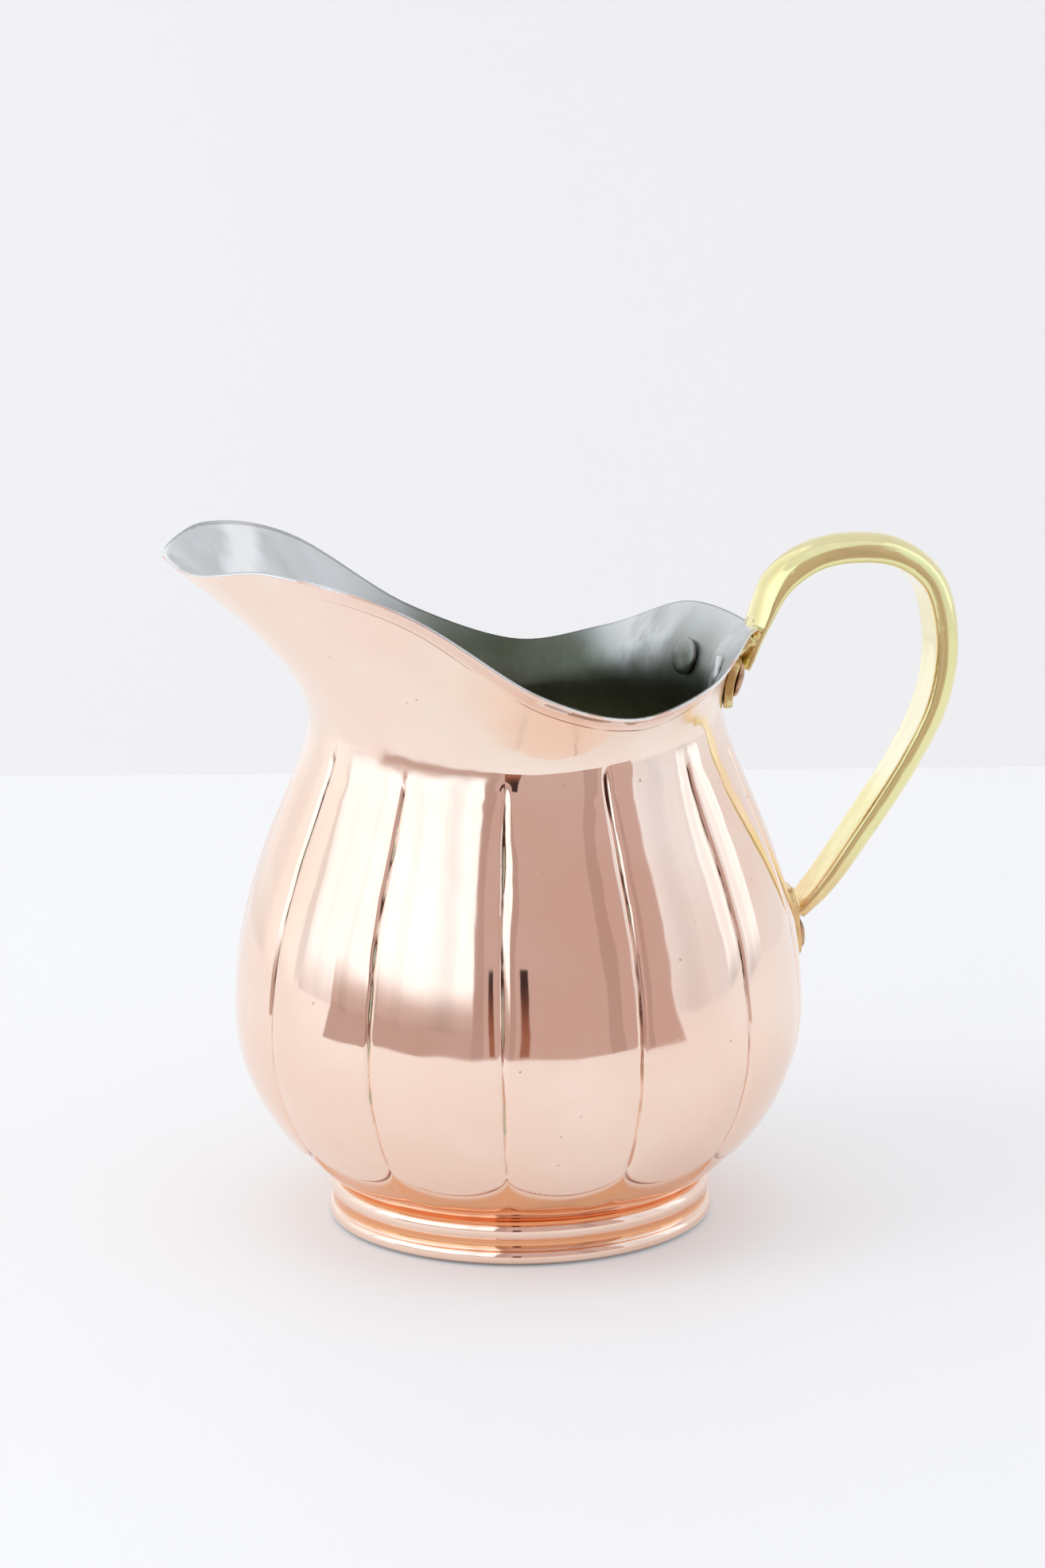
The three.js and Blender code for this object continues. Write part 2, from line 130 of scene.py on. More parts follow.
def through_stations(values, degrees):
    """Smooth rim value at an angle, through stations that repeat mirrored past both ends."""
    angles = np.array([-MOUTH_ANGLES[1], *MOUTH_ANGLES, 2 * MOUTH_ANGLES[-1] - MOUTH_ANGLES[-2]], float)
    held = np.array([values[1], *values, values[-2]], float)
    folded = from_spout(degrees)
    i = np.clip(np.searchsorted(angles, folded, side="right") - 1, 1, len(MOUTH_ANGLES) - 1)
    span = angles[i + 1] - angles[i]
    slope_from = (held[i + 1] - held[i - 1]) / (angles[i + 1] - angles[i - 1]) * span
    slope_to = (held[i + 2] - held[i]) / (angles[i + 2] - angles[i]) * span
    return hermite((folded - angles[i]) / span, held[i], slope_from, held[i + 1], slope_to)


def bezier(points, steps, with_end=False):
    """Steps along a Bezier curve through control points, or along many curves at once."""
    points = [np.asarray(p, float) for p in points]
    t = np.linspace(0, 1, steps, endpoint=with_end)
    t = t.reshape((-1,) + (1,) * points[0].ndim)
    points = [p[None] for p in points]
    while len(points) > 1:
        points = [a * (1 - t) + b * t for a, b in zip(points, points[1:])]
    return points[0]


def belly_angles(fine):
    """Angles up the belly's ellipse, closest together where the lobes end in arcs."""
    low = -math.asin(UNDERSIDE_SINE)
    arcs_low = math.asin((SCALLOP_LOW - ROWS_CLOSE[0] - BELLY_HEIGHT) / BELLY_DROP)
    arcs_high = math.asin((SCALLOP_CUSP + ROWS_CLOSE[1] - BELLY_HEIGHT) / BELLY_DROP)
    return np.concatenate([
        np.linspace(low, arcs_low, fine // 4, endpoint=False),
        np.linspace(arcs_low, arcs_high, fine, endpoint=False),
        np.linspace(arcs_high, 0, (2 * fine) // 3, endpoint=False)])


def meridians(degrees, steps):
    """Outside reach and height for every column, as an array of rows, columns and 2."""
    flat_steps, turn_steps, belly_fine, shoulder_steps, flare_steps = steps
    count = len(degrees)
    drop = BELLY_DROP * UNDERSIDE_SINE
    start = (UNDERSIDE_RADIUS, BELLY_HEIGHT - drop)
    slope = BELLY_DROP ** 2 * start[0] / (BELLY_RADIUS ** 2 * drop)
    corner = (start[0] - (start[1] - BASE_HEIGHT) / slope, BASE_HEIGHT)
    flat = np.linspace(FIRST_ROW, BASE_RADIUS, flat_steps, endpoint=False)
    flat = np.stack([flat, np.full_like(flat, BASE_HEIGHT)], 1)
    turn = bezier([(BASE_RADIUS, BASE_HEIGHT), corner, start], turn_steps)
    a = belly_angles(belly_fine)
    belly = np.stack([BELLY_RADIUS * np.cos(a), BELLY_HEIGHT + BELLY_DROP * np.sin(a)], 1)
    lower = np.repeat(np.concatenate([flat, turn, belly])[:, None, :], count, 1)
    reach, height, neck, upright = (through_stations(column, degrees) for column in
                                    (RIM_REACH, RIM_HEIGHT, NECK_HEIGHT, UPRIGHT_SHARE))
    even = np.ones(count)
    shoulder = bezier([
        np.stack([even * BELLY_RADIUS, even * BELLY_HEIGHT], 1),
        np.stack([even * BELLY_RADIUS, even * (BELLY_HEIGHT + SHOULDER_RISE)], 1),
        np.stack([even * (NECK_RADIUS + NECK_DRAW), neck - NECK_RUN], 1),
        np.stack([even * NECK_RADIUS, neck], 1)], shoulder_steps)
    flare = bezier([
        np.stack([even * NECK_RADIUS, neck], 1),
        np.stack([even * NECK_RADIUS, neck + upright * (height - neck)], 1),
        np.stack([reach, height], 1)], flare_steps, with_end=True)
    return np.concatenate([lower, shoulder, flare])


def tangents(line):
    """Unit direction up each meridian."""
    along = np.gradient(line, axis=0)
    return along / np.linalg.norm(along, axis=2, keepdims=True)


def inward_from(along):
    """Unit direction into the sheet, square to the meridians."""
    return np.stack([-along[:, :, 1], along[:, :, 0]], 2)


def column_angles():
    """Angles from the spout in degrees, closest together beside the creases."""
    u = np.arange(COLUMNS_PER_LOBE) / COLUMNS_PER_LOBE
    share = u - BUNCHING * np.sin(2 * math.pi * u) / (2 * math.pi)
    lobes = np.arange(LOBES)[:, None] + 0.5
    return (lobes + share[None, :]).ravel() * 360.0 / LOBES + LOBE_PHASE


def lobe_turns(degrees):
    """Each angle counted in lobes, and the number of the crease nearest to it."""
    turns = (degrees - LOBE_PHASE) / LOBE_DEGREES - 0.5
    return turns, np.round(turns)


def wobble(values, seed, scale):
    """Smooth one-dimensional noise for an array of positions."""
    flat = [noise.noise(Vector((v * scale, seed * 7.31, 0.37))) for v in values.ravel()]
    return np.array(flat).reshape(values.shape)


def crease_profile(degrees, line):
    """How far the creases sink each point, how deep in a crease it is, and its share of the way
    from the crease to the middle of the lobe."""
    turns, nearest = lobe_turns(degrees)
    from_crease = (turns - nearest)[None, :] * LOBE_DEGREES
    number = nearest.astype(int) % LOBES
    reach = line[:, :, 0]
    height = line[:, :, 1]
    sway = np.zeros_like(reach)
    strength = np.ones_like(reach)
    for k in range(LOBES):
        columns = np.where(number == k)[0]
        rows = height[:, columns[0]]
        sway[:, columns] = (0.32 * wobble(rows, k + 1, 0.09) + 0.12 * wobble(rows, k + 31, 0.35))[:, None]
        strength[:, columns] = (1.0 + 0.4 * wobble(rows, k + 61, 0.22))[:, None]
    arc = np.radians(from_crease) * reach - sway
    half = math.radians(LOBE_DEGREES / 2) * reach
    share = np.clip(np.abs(arc) / half, 0, 1)
    tops = np.array(CREASE_TOPS)[number][None, :]
    cusp = SCALLOP_CUSP - 0.8
    fade = smoothstep(height, cusp - 1.5, cusp + 2.5) * (1 - smoothstep(height, tops - 4.5, tops))
    broad_fade = smoothstep(height, cusp - 2, cusp + 10) * (1 - smoothstep(height, tops - 16, tops))
    narrow = np.exp(-(arc / NARROW_WIDTH) ** 2) * strength
    sink = BROAD_DEPTH * (1 - share) ** 4 * broad_fade + NARROW_DEPTH * narrow * fade
    return sink, narrow * fade, share


def scallop_profile(share, line):
    """The lobes end in hanging arcs and stand a little proud of the plain underside."""
    height = line[:, :, 1]
    arc_height = SCALLOP_LOW + (SCALLOP_CUSP - SCALLOP_LOW) * (1 - np.sqrt(1 - (1 - share) ** 2))
    below = arc_height - height
    step = smoothstep(below, -0.3, 0.4)
    home = 1 - smoothstep(below, 1.5, 6.0)
    groove = np.exp(-((below - 0.3) / 0.46) ** 2)
    return SCALLOP_STEP * step * home + SCALLOP_GROOVE * groove, groove, smoothstep(below, 0.3, 2.0)


def dip(place):
    """Smooth noise, lifted so that it hardly ever falls below zero."""
    return noise.noise(place) + 0.6


def hammering(points, seed):
    """Slight unevenness of hand-raised sheet, never above the true surface."""
    out = np.empty(len(points))
    shift = Vector((seed, seed * 1.7, -seed))
    low, high = NECK_DENTS
    for i, p in enumerate(points):
        v = Vector(p)
        out[i] = INSET + BROAD_UNEVEN * dip(v * 0.062 + shift) + FINE_UNEVEN * dip(v * 0.19 - shift)
        if low < p[2] < high:
            out[i] += DENT_DEPTH * math.sin(math.pi * (p[2] - low) / (high - low)) * dip(v * 0.42 + shift)
    return np.clip(out, 0.0, None)


def to_row(degrees, line):
    """Row-frame points, in metres, of meridians that stand at angles from the spout."""
    a = np.radians(degrees)[None, :]
    reach, height = line[:, :, 0], line[:, :, 1]
    x = AXIS_X - reach * np.cos(a) * MM
    y = -reach * np.sin(a) * MM
    return np.stack([x, y, height * MM], -1)


# ---- Mesh helpers ----------------------------------------------------
def new_object(name, data):
    obj = bpy.data.objects.new(name, data)
    bpy.context.scene.collection.objects.link(obj)
    return obj


def new_mesh(name, points, faces, *materials):
    mesh = bpy.data.meshes.new(name)
    mesh.from_pydata([list(p) for p in points], [], faces)
    for material in materials:
        mesh.materials.append(material)
    return new_object(name, mesh)


def from_bmesh(name, bm, material):
    mesh = bpy.data.meshes.new(name)
    bm.to_mesh(mesh)
    bm.free()
    mesh.materials.append(material)
    return new_object(name, mesh)


def ring_mesh(name, rings, *materials, closed_ends=True):
    """Closes rows of rings, each a loop of points, into one body."""
    rows, columns, _ = rings.shape
    verts = rings.reshape(-1, 3)
    index = np.arange(rows * columns).reshape(rows, columns)
    following = np.roll(index, -1, 1)
    quads = np.stack([index[:-1], following[:-1], following[1:], index[1:]], -1).reshape(-1, 4)
    faces = quads.tolist()
    if closed_ends:
        first = len(verts)
        verts = np.concatenate([verts, rings[0].mean(0)[None], rings[-1].mean(0)[None]])
        faces += [(first, b, a) for a, b in zip(index[0].tolist(), following[0].tolist())]
        faces += [(first + 1, a, b) for a, b in zip(index[-1].tolist(), following[-1].tolist())]
    obj = new_mesh(name, verts.tolist(), faces, *materials)
    obj.data.shade_smooth()
    return obj


def point_out(obj, weld=False):
    """Welds doubled points if asked, and makes every face point out of the closed body."""
    bm = bmesh.new()
    bm.from_mesh(obj.data)
    if weld:
        bmesh.ops.remove_doubles(bm, verts=bm.verts, dist=1e-7)
    bmesh.ops.recalc_face_normals(bm, faces=bm.faces)
    if bm.calc_volume(signed=True) < 0:
        bmesh.ops.reverse_faces(bm, faces=bm.faces)
    bm.to_mesh(obj.data)
    bm.free()


def float_attribute(obj, name, values):
    layer = obj.data.attributes.new(name, "FLOAT", "POINT")
    padded = np.zeros(len(obj.data.vertices), np.float32)
    padded[:len(values)] = values
    layer.data.foreach_set("value", padded)


def second_finish(obj, *spans):
    """Gives the faces from each first up to each last the object's second material."""
    index = np.zeros(len(obj.data.polygons), np.int32)
    for first, last in spans:
        index[first:last] = 1
    obj.data.polygons.foreach_set("material_index", index)


def triples(items, key):
    """Three numbers for each item of a mesh, such as points or normals."""
    values = np.empty(len(items) * 3, np.float32)
    items.foreach_get(key, values)
    return values.reshape(-1, 3)


def settle(obj, node):
    """Attaches a finished piece to the root body and hides the CAD node it stands for."""
    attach(obj, "root")
    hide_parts(node)


# ---- Node helpers ----------------------------------------------------
class Shader:
    """One material's node tree, with short calls for the nodes used here."""

    def __init__(self, name, kind, **values):
        self.material = bpy.data.materials.new(name)
        self.material.use_nodes = True
        self.tree = self.material.node_tree
        self.tree.nodes.clear()
        self.output = self.node("OutputMaterial")
        self.face = self.node(kind, **values)
        self.link(self.face.outputs[0], self.output.inputs["Surface"])
        self.coords = self.node("TexCoord").outputs["Object"]

    def node(self, kind, **values):
        """Adds a node and feeds its named inputs, where _ stands for a space."""
        node = self.tree.nodes.new("ShaderNode" + kind)
        for key, value in values.items():
            self.feed(value, node.inputs[key.replace("_", " ")])
        return node

    def link(self, source, target):
        self.tree.links.new(source, target)

    def feed(self, value, target):
        if isinstance(value, (int, float)):
            target.default_value = value
        elif isinstance(value, tuple):
            target.default_value = (*value, 1) if target.type == "RGBA" else value
        else:
            self.link(value, target)

    def stretched(self, *scale):
        return self.node("Mapping", Vector=self.coords, Scale=scale).outputs[0]

    def noise(self, scale, detail=3.0, rough=0.5, coords=None, distortion=0.0):
        return self.node("TexNoise", Vector=coords or self.coords, Scale=scale, Detail=detail,
                         Roughness=rough, Distortion=distortion).outputs["Fac"]

    def cells(self, scale):
        return self.node("TexVoronoi", Vector=self.coords, Scale=scale).outputs["Distance"]

    def attribute(self, name):
        node = self.node("Attribute")
        node.attribute_name = name
        return node.outputs["Fac"]

    def axis(self, name):
        return self.node("SeparateXYZ", Vector=self.coords).outputs[name]

    def span(self, value, low, high, to_low=0.0, to_high=1.0, smooth=True):
        node = self.node("MapRange", Value=value, From_Min=low, From_Max=high, To_Min=to_low, To_Max=to_high)
        node.interpolation_type = "SMOOTHSTEP" if smooth else "LINEAR"
        return node.outputs["Result"]

    def up(self, low, high, to_low=0.0, to_high=1.0):
        """A value that changes between two heights, given in millimetres."""
        return self.span(self.axis("Z"), low * MM, high * MM, to_low, to_high)

    def math(self, operation, a, b=0.0):
        node = self.node("Math")
        node.operation = operation
        self.feed(a, node.inputs[0])
        self.feed(b, node.inputs[1])
        return node.outputs[0]

    def times(self, a, b):
        return self.math("MULTIPLY", a, b)

    def plus(self, a, b):
        return self.math("ADD", a, b)

    def mix(self, factor, a, b):
        node = self.node("Mix")
        node.data_type = "RGBA"
        for value, place in ((factor, 0), (a, 6), (b, 7)):
            self.feed(value, node.inputs[place])
        return node.outputs[2]

    def bump(self, height, distance, below=None):
        node = self.node("Bump", Height=height, Distance=distance)
        if below is not None:
            self.link(below, node.inputs["Normal"])
        return node.outputs[0]

    def finish(self, color, roughness, normal):
        for key, value in (("Base Color", color), ("Roughness", roughness), ("Normal", normal)):
            self.feed(value, self.face.inputs[key])
        return self.material


def metal(name, color, roughness):
    return Shader(name, "BsdfPrincipled", Base_Color=color, Metallic=1.0, Roughness=roughness)


# ---- Materials -------------------------------------------------------
COPPER_NECK_PAINTED_LIGHT = (0.99, 0.845, 0.725)
COPPER_LIGHT = (0.975, 0.775, 0.655)
COPPER_WARM = (0.96, 0.72, 0.59)
COPPER_PAINTED_REFLECTION = (0.88, 0.45, 0.24)
COPPER_DARK = (0.085, 0.035, 0.022)
COPPER_SPECK = (0.42, 0.22, 0.14)
COPPER_ARC_PAINTED_SHADE = (0.30, 0.10, 0.05)
COPPER_LOW_CREASE = (0.66, 0.32, 0.19)
COPPER_SCRIBED = (0.36, 0.14, 0.10)
COPPER_RUBBED = (0.84, 0.55, 0.46)
SCRIBED_BELOW = 3.7  # millimetres under the rim
RUBBED_BELOW = 2.2


def copper_parts(s):
    """Tone, specks and roughness of all the polished copper."""
    tone = s.span(s.noise(30, 4, 0.62), 0.36, 0.64)
    thin = s.span(s.noise(95, 2, 0.5), 0.56, 0.66)
    specks = s.times(s.span(s.cells(260), 0.05, 0.09, 1.0, 0.0), thin)
    haze = s.span(s.noise(22, 4, 0.65, s.stretched(1, 1, 0.45)), 0.4, 0.75)
    return tone, specks, s.span(haze, 0, 1, 0.045, 0.12, smooth=False)


def specked(s, color, specks):
    return s.mix(s.times(specks, 0.55), color, COPPER_SPECK)


def copper_relief(s, specks):
    """A slow swell, fine upright polishing marks and the specks' pits."""
    bumped = s.bump(s.noise(70, 2, 0.4), 0.00002)
    bumped = s.bump(s.noise(900, 2, 0.5, s.stretched(1, 1, 0.12)), 0.000002, bumped)
    return s.bump(specks, -0.00002, bumped)


def fluted_copper(name):
    """Paler up the neck as painted light, painted deep orange under the lobes as a reflection of the foot,
    darker in the creases, with painted shade in the arcs' grooves.
    """
    s = metal(name, COPPER_LIGHT, 0.07)
    tone, specks, roughness = copper_parts(s)
    color = s.mix(tone, COPPER_LIGHT, COPPER_WARM)
    # Painted light: the copper is painted paler up the neck, where the light is stronger.
    color = s.mix(s.up(84, 100), color, s.mix(tone, COPPER_NECK_PAINTED_LIGHT, COPPER_LIGHT))
    # Painted reflection: under the lobes the copper is painted deep orange, as the foot's copper it reflects.
    color = s.mix(s.attribute("under"), specked(s, color, specks), COPPER_PAINTED_REFLECTION)
    # Painted shade: the arcs' grooves are painted dark brown.
    arc = s.times(s.span(s.attribute("arc"), 0.40, 0.85), s.span(s.noise(90, 2, 0.5), 0.36, 0.55, 0.35, 0.95))
    color = s.mix(arc, color, COPPER_ARC_PAINTED_SHADE)
    spout_side = s.span(s.axis("X"), -0.028, -0.018, 0.006, 0.0)
    satin = s.span(s.plus(s.axis("Z"), spout_side), 0.095, 0.104, 0.0, 0.17)
    # The creases are drawn darker, near black up the belly and orange-brown lower down.
    crease_darkening = s.span(s.attribute("crease"), 0.62, 0.95)
    crease_darkening = s.times(crease_darkening, s.span(s.noise(95, 3, 0.6), 0.37, 0.53, 0.25, 1.0))
    crease_darkening = s.times(crease_darkening, s.up(30, 56, 0.75, 1.0))
    color = s.mix(crease_darkening, color, s.mix(s.up(36, 56), COPPER_LOW_CREASE, COPPER_DARK))
    line, band = scribed_line(s)
    color = s.mix(s.times(line, 0.9), color, COPPER_SCRIBED)
    color = s.mix(s.times(band, 0.42), color, COPPER_RUBBED)
    for more in (satin, s.times(crease_darkening, 0.3), s.times(band, 0.05)):
        roughness = s.plus(roughness, more)
    return s.finish(color, roughness, copper_relief(s, specks))


def scribed_line(s):
    """A thin line scribed a few millimetres under the rim, and the rubbed band above it."""
    around = s.attribute("rim_side")
    wander = s.span(s.noise(30, 2, 0.5), 0.3, 0.7, -0.35, 0.35)
    place = s.plus(s.attribute("below_rim"), wander)
    off_line = s.math("ABSOLUTE", s.plus(place, -SCRIBED_BELOW))
    broken = s.span(s.noise(60, 2, 0.5), 0.38, 0.52)
    line = s.times(s.span(off_line, 0.05, 0.2, 1.0, 0.0), broken)
    return s.times(line, around), s.times(s.span(place, RUBBED_BELOW, SCRIBED_BELOW, 1.0, 0.0), around)


def foot_copper(name):
    s = metal(name, COPPER_LIGHT, 0.07)
    tone, specks, roughness = copper_parts(s)
    color = specked(s, s.mix(tone, COPPER_LIGHT, COPPER_WARM), specks)
    # Painted reflection: the groove between the beads is painted deep orange, as the beads' copper it
    # reflects.
    color = s.mix(s.times(s.up(3.0, 3.6), s.up(4.9, 5.5, 1.0, 0.0)), color, COPPER_PAINTED_REFLECTION)
    # Painted contact shadow: the foot's lowest millimetre is painted dark.
    color = s.mix(s.up(0.2, 1.2, 0.9, 0.0), color, COPPER_DARK)
    return s.finish(color, roughness, copper_relief(s, specks))


TIN = (0.6, 0.63, 0.62)
TIN_PALE = (0.74, 0.76, 0.77)
TIN_GREY = (0.54, 0.57, 0.57)
TIN_STAIN = (0.36, 0.39, 0.38)
TIN_SHADE_PAINTED = (0.15, 0.165, 0.125)
TIN_DEEPER_SHADE_PAINTED = (0.085, 0.095, 0.065)
TIN_BOUNCE_PAINTED = (0.52, 0.52, 0.36)
TIN_HIGHLIGHT_PAINTED = (0.98, 0.99, 1.0)
TIN_SPOT_HIGHLIGHT = (0.84, 0.85, 0.85)
TIN_PAINTED_LIT_FROM = (0.106, 0.134)  # from here up the tin is painted lit, in metres


def wiped_tin(name):
    """Painted light round the mouth and painted shade lower down, painted lighter again deep inside, with a
    painted highlight streak in the spout and painted highlight spots by the handle.
    """
    s = metal(name, TIN, 0.3)
    smear = s.noise(26, 5, 0.62, s.stretched(1, 1, 0.5), distortion=0.6)
    streak = s.noise(60, 4, 0.6, s.stretched(1, 1, 0.22))
    smeared = s.span(smear, 0.35, 0.68)
    stain = s.span(s.noise(45, 4, 0.7), 0.56, 0.75)
    lit_tin = s.mix(s.times(stain, 0.5), s.mix(smeared, TIN_PALE, TIN_GREY), TIN_STAIN)
    # Deep down the tin is painted a lighter olive again, as painted bounce light.
    shaded_tin = s.mix(s.up(78, 98), TIN_BOUNCE_PAINTED, s.mix(smeared, TIN_SHADE_PAINTED, TIN_DEEPER_SHADE_PAINTED))
    from_middle = s.math("ABSOLUTE", s.plus(s.axis("X"), 0.002))
    edge = s.plus(s.axis("Z"), s.times(from_middle, 0.5))
    edge = s.plus(edge, s.span(smear, 0.2, 0.8, -0.007, 0.007))
    # Painted light and shade: the tin is painted light round the mouth and painted dark below it.
    color = s.mix(s.span(edge, *TIN_PAINTED_LIT_FROM), shaded_tin, lit_tin)
    # Painted highlight: one pale streak of tin in the spout.
    off_highlight = s.math("ABSOLUTE", s.plus(s.plus(s.axis("X"), s.times(s.axis("Z"), -0.55)), 0.126))
    off_highlight = s.plus(off_highlight, s.span(smear, 0.2, 0.8, -0.004, 0.004))
    color = s.mix(s.span(off_highlight, 0.001, 0.007, 0.9, 0.0), color, TIN_HIGHLIGHT_PAINTED)
    # Painted highlights: pale spots on the tin high up by the handle.
    highlight_spots = s.times(s.span(s.axis("X"), 0.010, 0.024), s.span(smear, 0.44, 0.6, 0.0, 0.85))
    color = s.mix(s.times(highlight_spots, s.up(97, 104)), color, TIN_SPOT_HIGHLIGHT)
    roughness = s.plus(s.span(edge, *TIN_PAINTED_LIT_FROM, 0.26, 0.0), s.span(streak, 0.3, 0.7, 0.16, 0.3, smooth=False))
    bumped = s.bump(smear, 0.00025)
    bumped = s.bump(streak, 0.00006, bumped)
    return s.finish(color, roughness, s.bump(s.noise(700, 2, 0.6), 0.000012, bumped))


def tinned_edge(name):
    s = metal(name, (0.74, 0.72, 0.71), 0.25)
    worn = s.span(s.noise(120, 4, 0.65), 0.5, 0.66)
    color = s.mix(worn, (0.78, 0.77, 0.76), (0.80, 0.52, 0.42))
    roughness = s.span(s.noise(240, 3, 0.6), 0.3, 0.7, 0.16, 0.36, smooth=False)
    return s.finish(color, roughness, s.bump(s.noise(500, 3, 0.6), 0.00005))


def solder_metal(name):
    s = metal(name, (0.5, 0.49, 0.47), 0.45)
    pool = s.noise(130, 4, 0.6)
    color = s.mix(s.span(pool, 0.4, 0.65), (0.58, 0.57, 0.54), (0.33, 0.30, 0.27))
    roughness = s.span(pool, 0.3, 0.7, 0.32, 0.6, smooth=False)
    return s.finish(color, roughness, s.bump(s.noise(260, 4, 0.65), 0.0002))


def rivet_copper(name):
    s = metal(name, (0.4, 0.24, 0.15), 0.35)
    worn = s.span(s.noise(300, 3, 0.6), 0.35, 0.62)
    color = s.mix(worn, (0.23, 0.14, 0.08), (0.62, 0.40, 0.25))
    roughness = s.span(s.noise(500, 3, 0.6), 0.3, 0.7, 0.25, 0.5, smooth=False)
    return s.finish(color, roughness, s.bump(s.noise(420, 3, 0.6), 0.00008))


BRASS_LIGHT = (0.94, 0.85, 0.50)
BRASS_OLIVE = (0.84, 0.76, 0.38)
BRASS_SKIN = (0.50, 0.30, 0.10)
BRASS_PIT = (0.12, 0.08, 0.03)
BRASS_CORNER_SHADE = (0.36, 0.29, 0.09)
BRASS_INNER_HIGHLIGHT = (1.0, 0.95, 0.80)
BRASS_SIDE_REFLECTION = (0.86, 0.83, 0.42)
BRASS_COPPER_REFLECTION = (0.82, 0.50, 0.24)


def cast_brass(name):
    """Worn brass with pits and file marks, rough at the lug, painted with a copper reflection towards the
    tab, a highlight on the inner face, dark reflections along the corners and an olive reflection on the
    sides.
    """
    s = metal(name, BRASS_LIGHT, 0.12)
    tone = s.span(s.noise(55, 4, 0.6), 0.35, 0.7)
    skin = s.times(s.attribute("skin"), s.span(s.noise(210, 4, 0.65), 0.32, 0.6))
    pits = s.span(s.cells(520), 0.08, 0.14, 1.0, 0.0)
    pits = s.times(pits, s.span(s.noise(130, 2, 0.5), 0.52, 0.64))
    side = s.attribute("side")
    color = s.mix(tone, BRASS_LIGHT, BRASS_OLIVE)
    # Painted light: a painted highlight on the inner face, a painted dark reflection along the corner and a
    # painted olive reflection on the sides.
    for where, share, after in ((skin, 0.9, BRASS_SKIN), (pits, 0.8, BRASS_PIT),
                                (s.attribute("corner"), 0.9, BRASS_CORNER_SHADE),
                                (s.attribute("inner"), 0.55, BRASS_INNER_HIGHLIGHT), (side, 0.85, BRASS_SIDE_REFLECTION)):
        color = s.mix(s.times(where, share), color, after)
    # Painted reflection: the lower strap towards the tab is painted copper-coloured, as the body's copper it
    # reflects.
    copper_reflection = s.times(s.up(56, 70, 0.75, 0.0), s.span(tone, 0.0, 0.6, 0.4, 1.0))
    color = s.mix(copper_reflection, color, BRASS_COPPER_REFLECTION)
    roughness = s.span(s.noise(48, 4, 0.6), 0.35, 0.7, 0.07, 0.16, smooth=False)
    roughness = s.plus(s.plus(roughness, s.times(side, 0.07)), s.times(skin, 0.28))
    file_marks = s.noise(420, 3, 0.55, s.stretched(1, 0.15, 1))
    bumped = s.bump(s.noise(95, 2, 0.5), 0.0003)
    bumped = s.bump(file_marks, 0.000008, bumped)
    return s.finish(color, roughness, s.bump(pits, -0.00006, bumped))


FLUTED_COPPER = fluted_copper("polished_copper_fluted")
WIPED_TIN = wiped_tin("wiped_tin")
FOOT_COPPER = foot_copper("polished_copper_foot")
EDGE = tinned_edge("tinned_edge")
SOLDER = solder_metal("solder")
BRASS = cast_brass("cast_brass")
RIVET = rivet_copper("rivet_copper")


# ---- Fluted body -----------------------------------------------------
BODY_SEED = 3.0
LINING_SEED = 11.0
THINNING = 8.0  # millimetres under the rim over which the sheet and the tin thin out
FAR = 99.0


def build_body():
    degrees = column_angles()
    line = meridians(degrees, BODY_ROWS)
    along = tangents(line)
    inward = inward_from(along)
    sink, crease, share = crease_profile(degrees, line)
    drop, groove, underside = scallop_profile(share, line)
    uneven = hammering(to_row(degrees, line).reshape(-1, 3) / MM, BODY_SEED).reshape(sink.shape)
    outside = line + inward * (sink + drop + uneven)[:, :, None]
    outside[:BODY_ROWS[0], :, 1] = BASE_HEIGHT + 0.05
    lip = edge_of_rim(outside[-1], along[-1], inward[-1])
    inner_line = meridians(degrees, BODY_INSIDE_ROWS)
    depth = thinned(inner_line, WALL + OVERLAP, RIM_SHEET)[:, :, None]
    inside = (inner_line + inward_from(tangents(inner_line)) * depth)[::-1][1:]
    profile = np.concatenate([outside[:-1], lip, inside])
    body = ring_mesh("fluted_copper_body", to_row(degrees, profile), FLUTED_COPPER, EDGE)
    # The under layer marks the underside below the arcs, which gets the painted reflection.
    for name, values in (("crease", crease), ("arc", groove), ("under", underside)):
        float_attribute(body, name, on_outside(values, profile))
    float_attribute(body, "below_rim", below_rim(profile, len(outside)))
    side = from_spout(degrees)
    marked = smoothstep(side, 30, 62) * (1 - smoothstep(side, 120, 150))
    float_attribute(body, "rim_side", np.tile(marked, len(profile)))
    edge = len(outside) + 1
    second_finish(body, (edge * len(degrees), (edge + 4) * len(degrees)))
    point_out(body)
    settle(body, "body_shell")


def thinned(line, full, at_rim):
    """Depth under the outside, which runs out to a smaller value at the rim."""
    steps = np.linalg.norm(np.diff(line, axis=0), axis=2)
    from_rim = np.concatenate([np.cumsum(steps[::-1], axis=0)[::-1], np.zeros((1, line.shape[1]))])
    return at_rim + (full - at_rim) * smoothstep(from_rim, 0.0, THINNING)


def edge_of_rim(last, along, inward):
    """Rounded edge of the sheet, from just under the rim outside to just under it inside."""
    rounding = 0.3 * RIM_FILLET
    rows = [(0.0, 1.0), (0.0, RIM_FILLET), (rounding, rounding), (RIM_FILLET, 0.0),
            (RIM_SHEET / 2, -0.03), (RIM_SHEET, 0.0)]
    return np.stack([last + inward * across - along * back for across, back in rows])


def on_outside(values, profile):
    """Values of the outside rows for the whole profile, and zero for the rest."""
    spread = np.zeros(profile.shape[:2])
    spread[:len(values) - 1] = values[:-1]
    return spread.ravel()


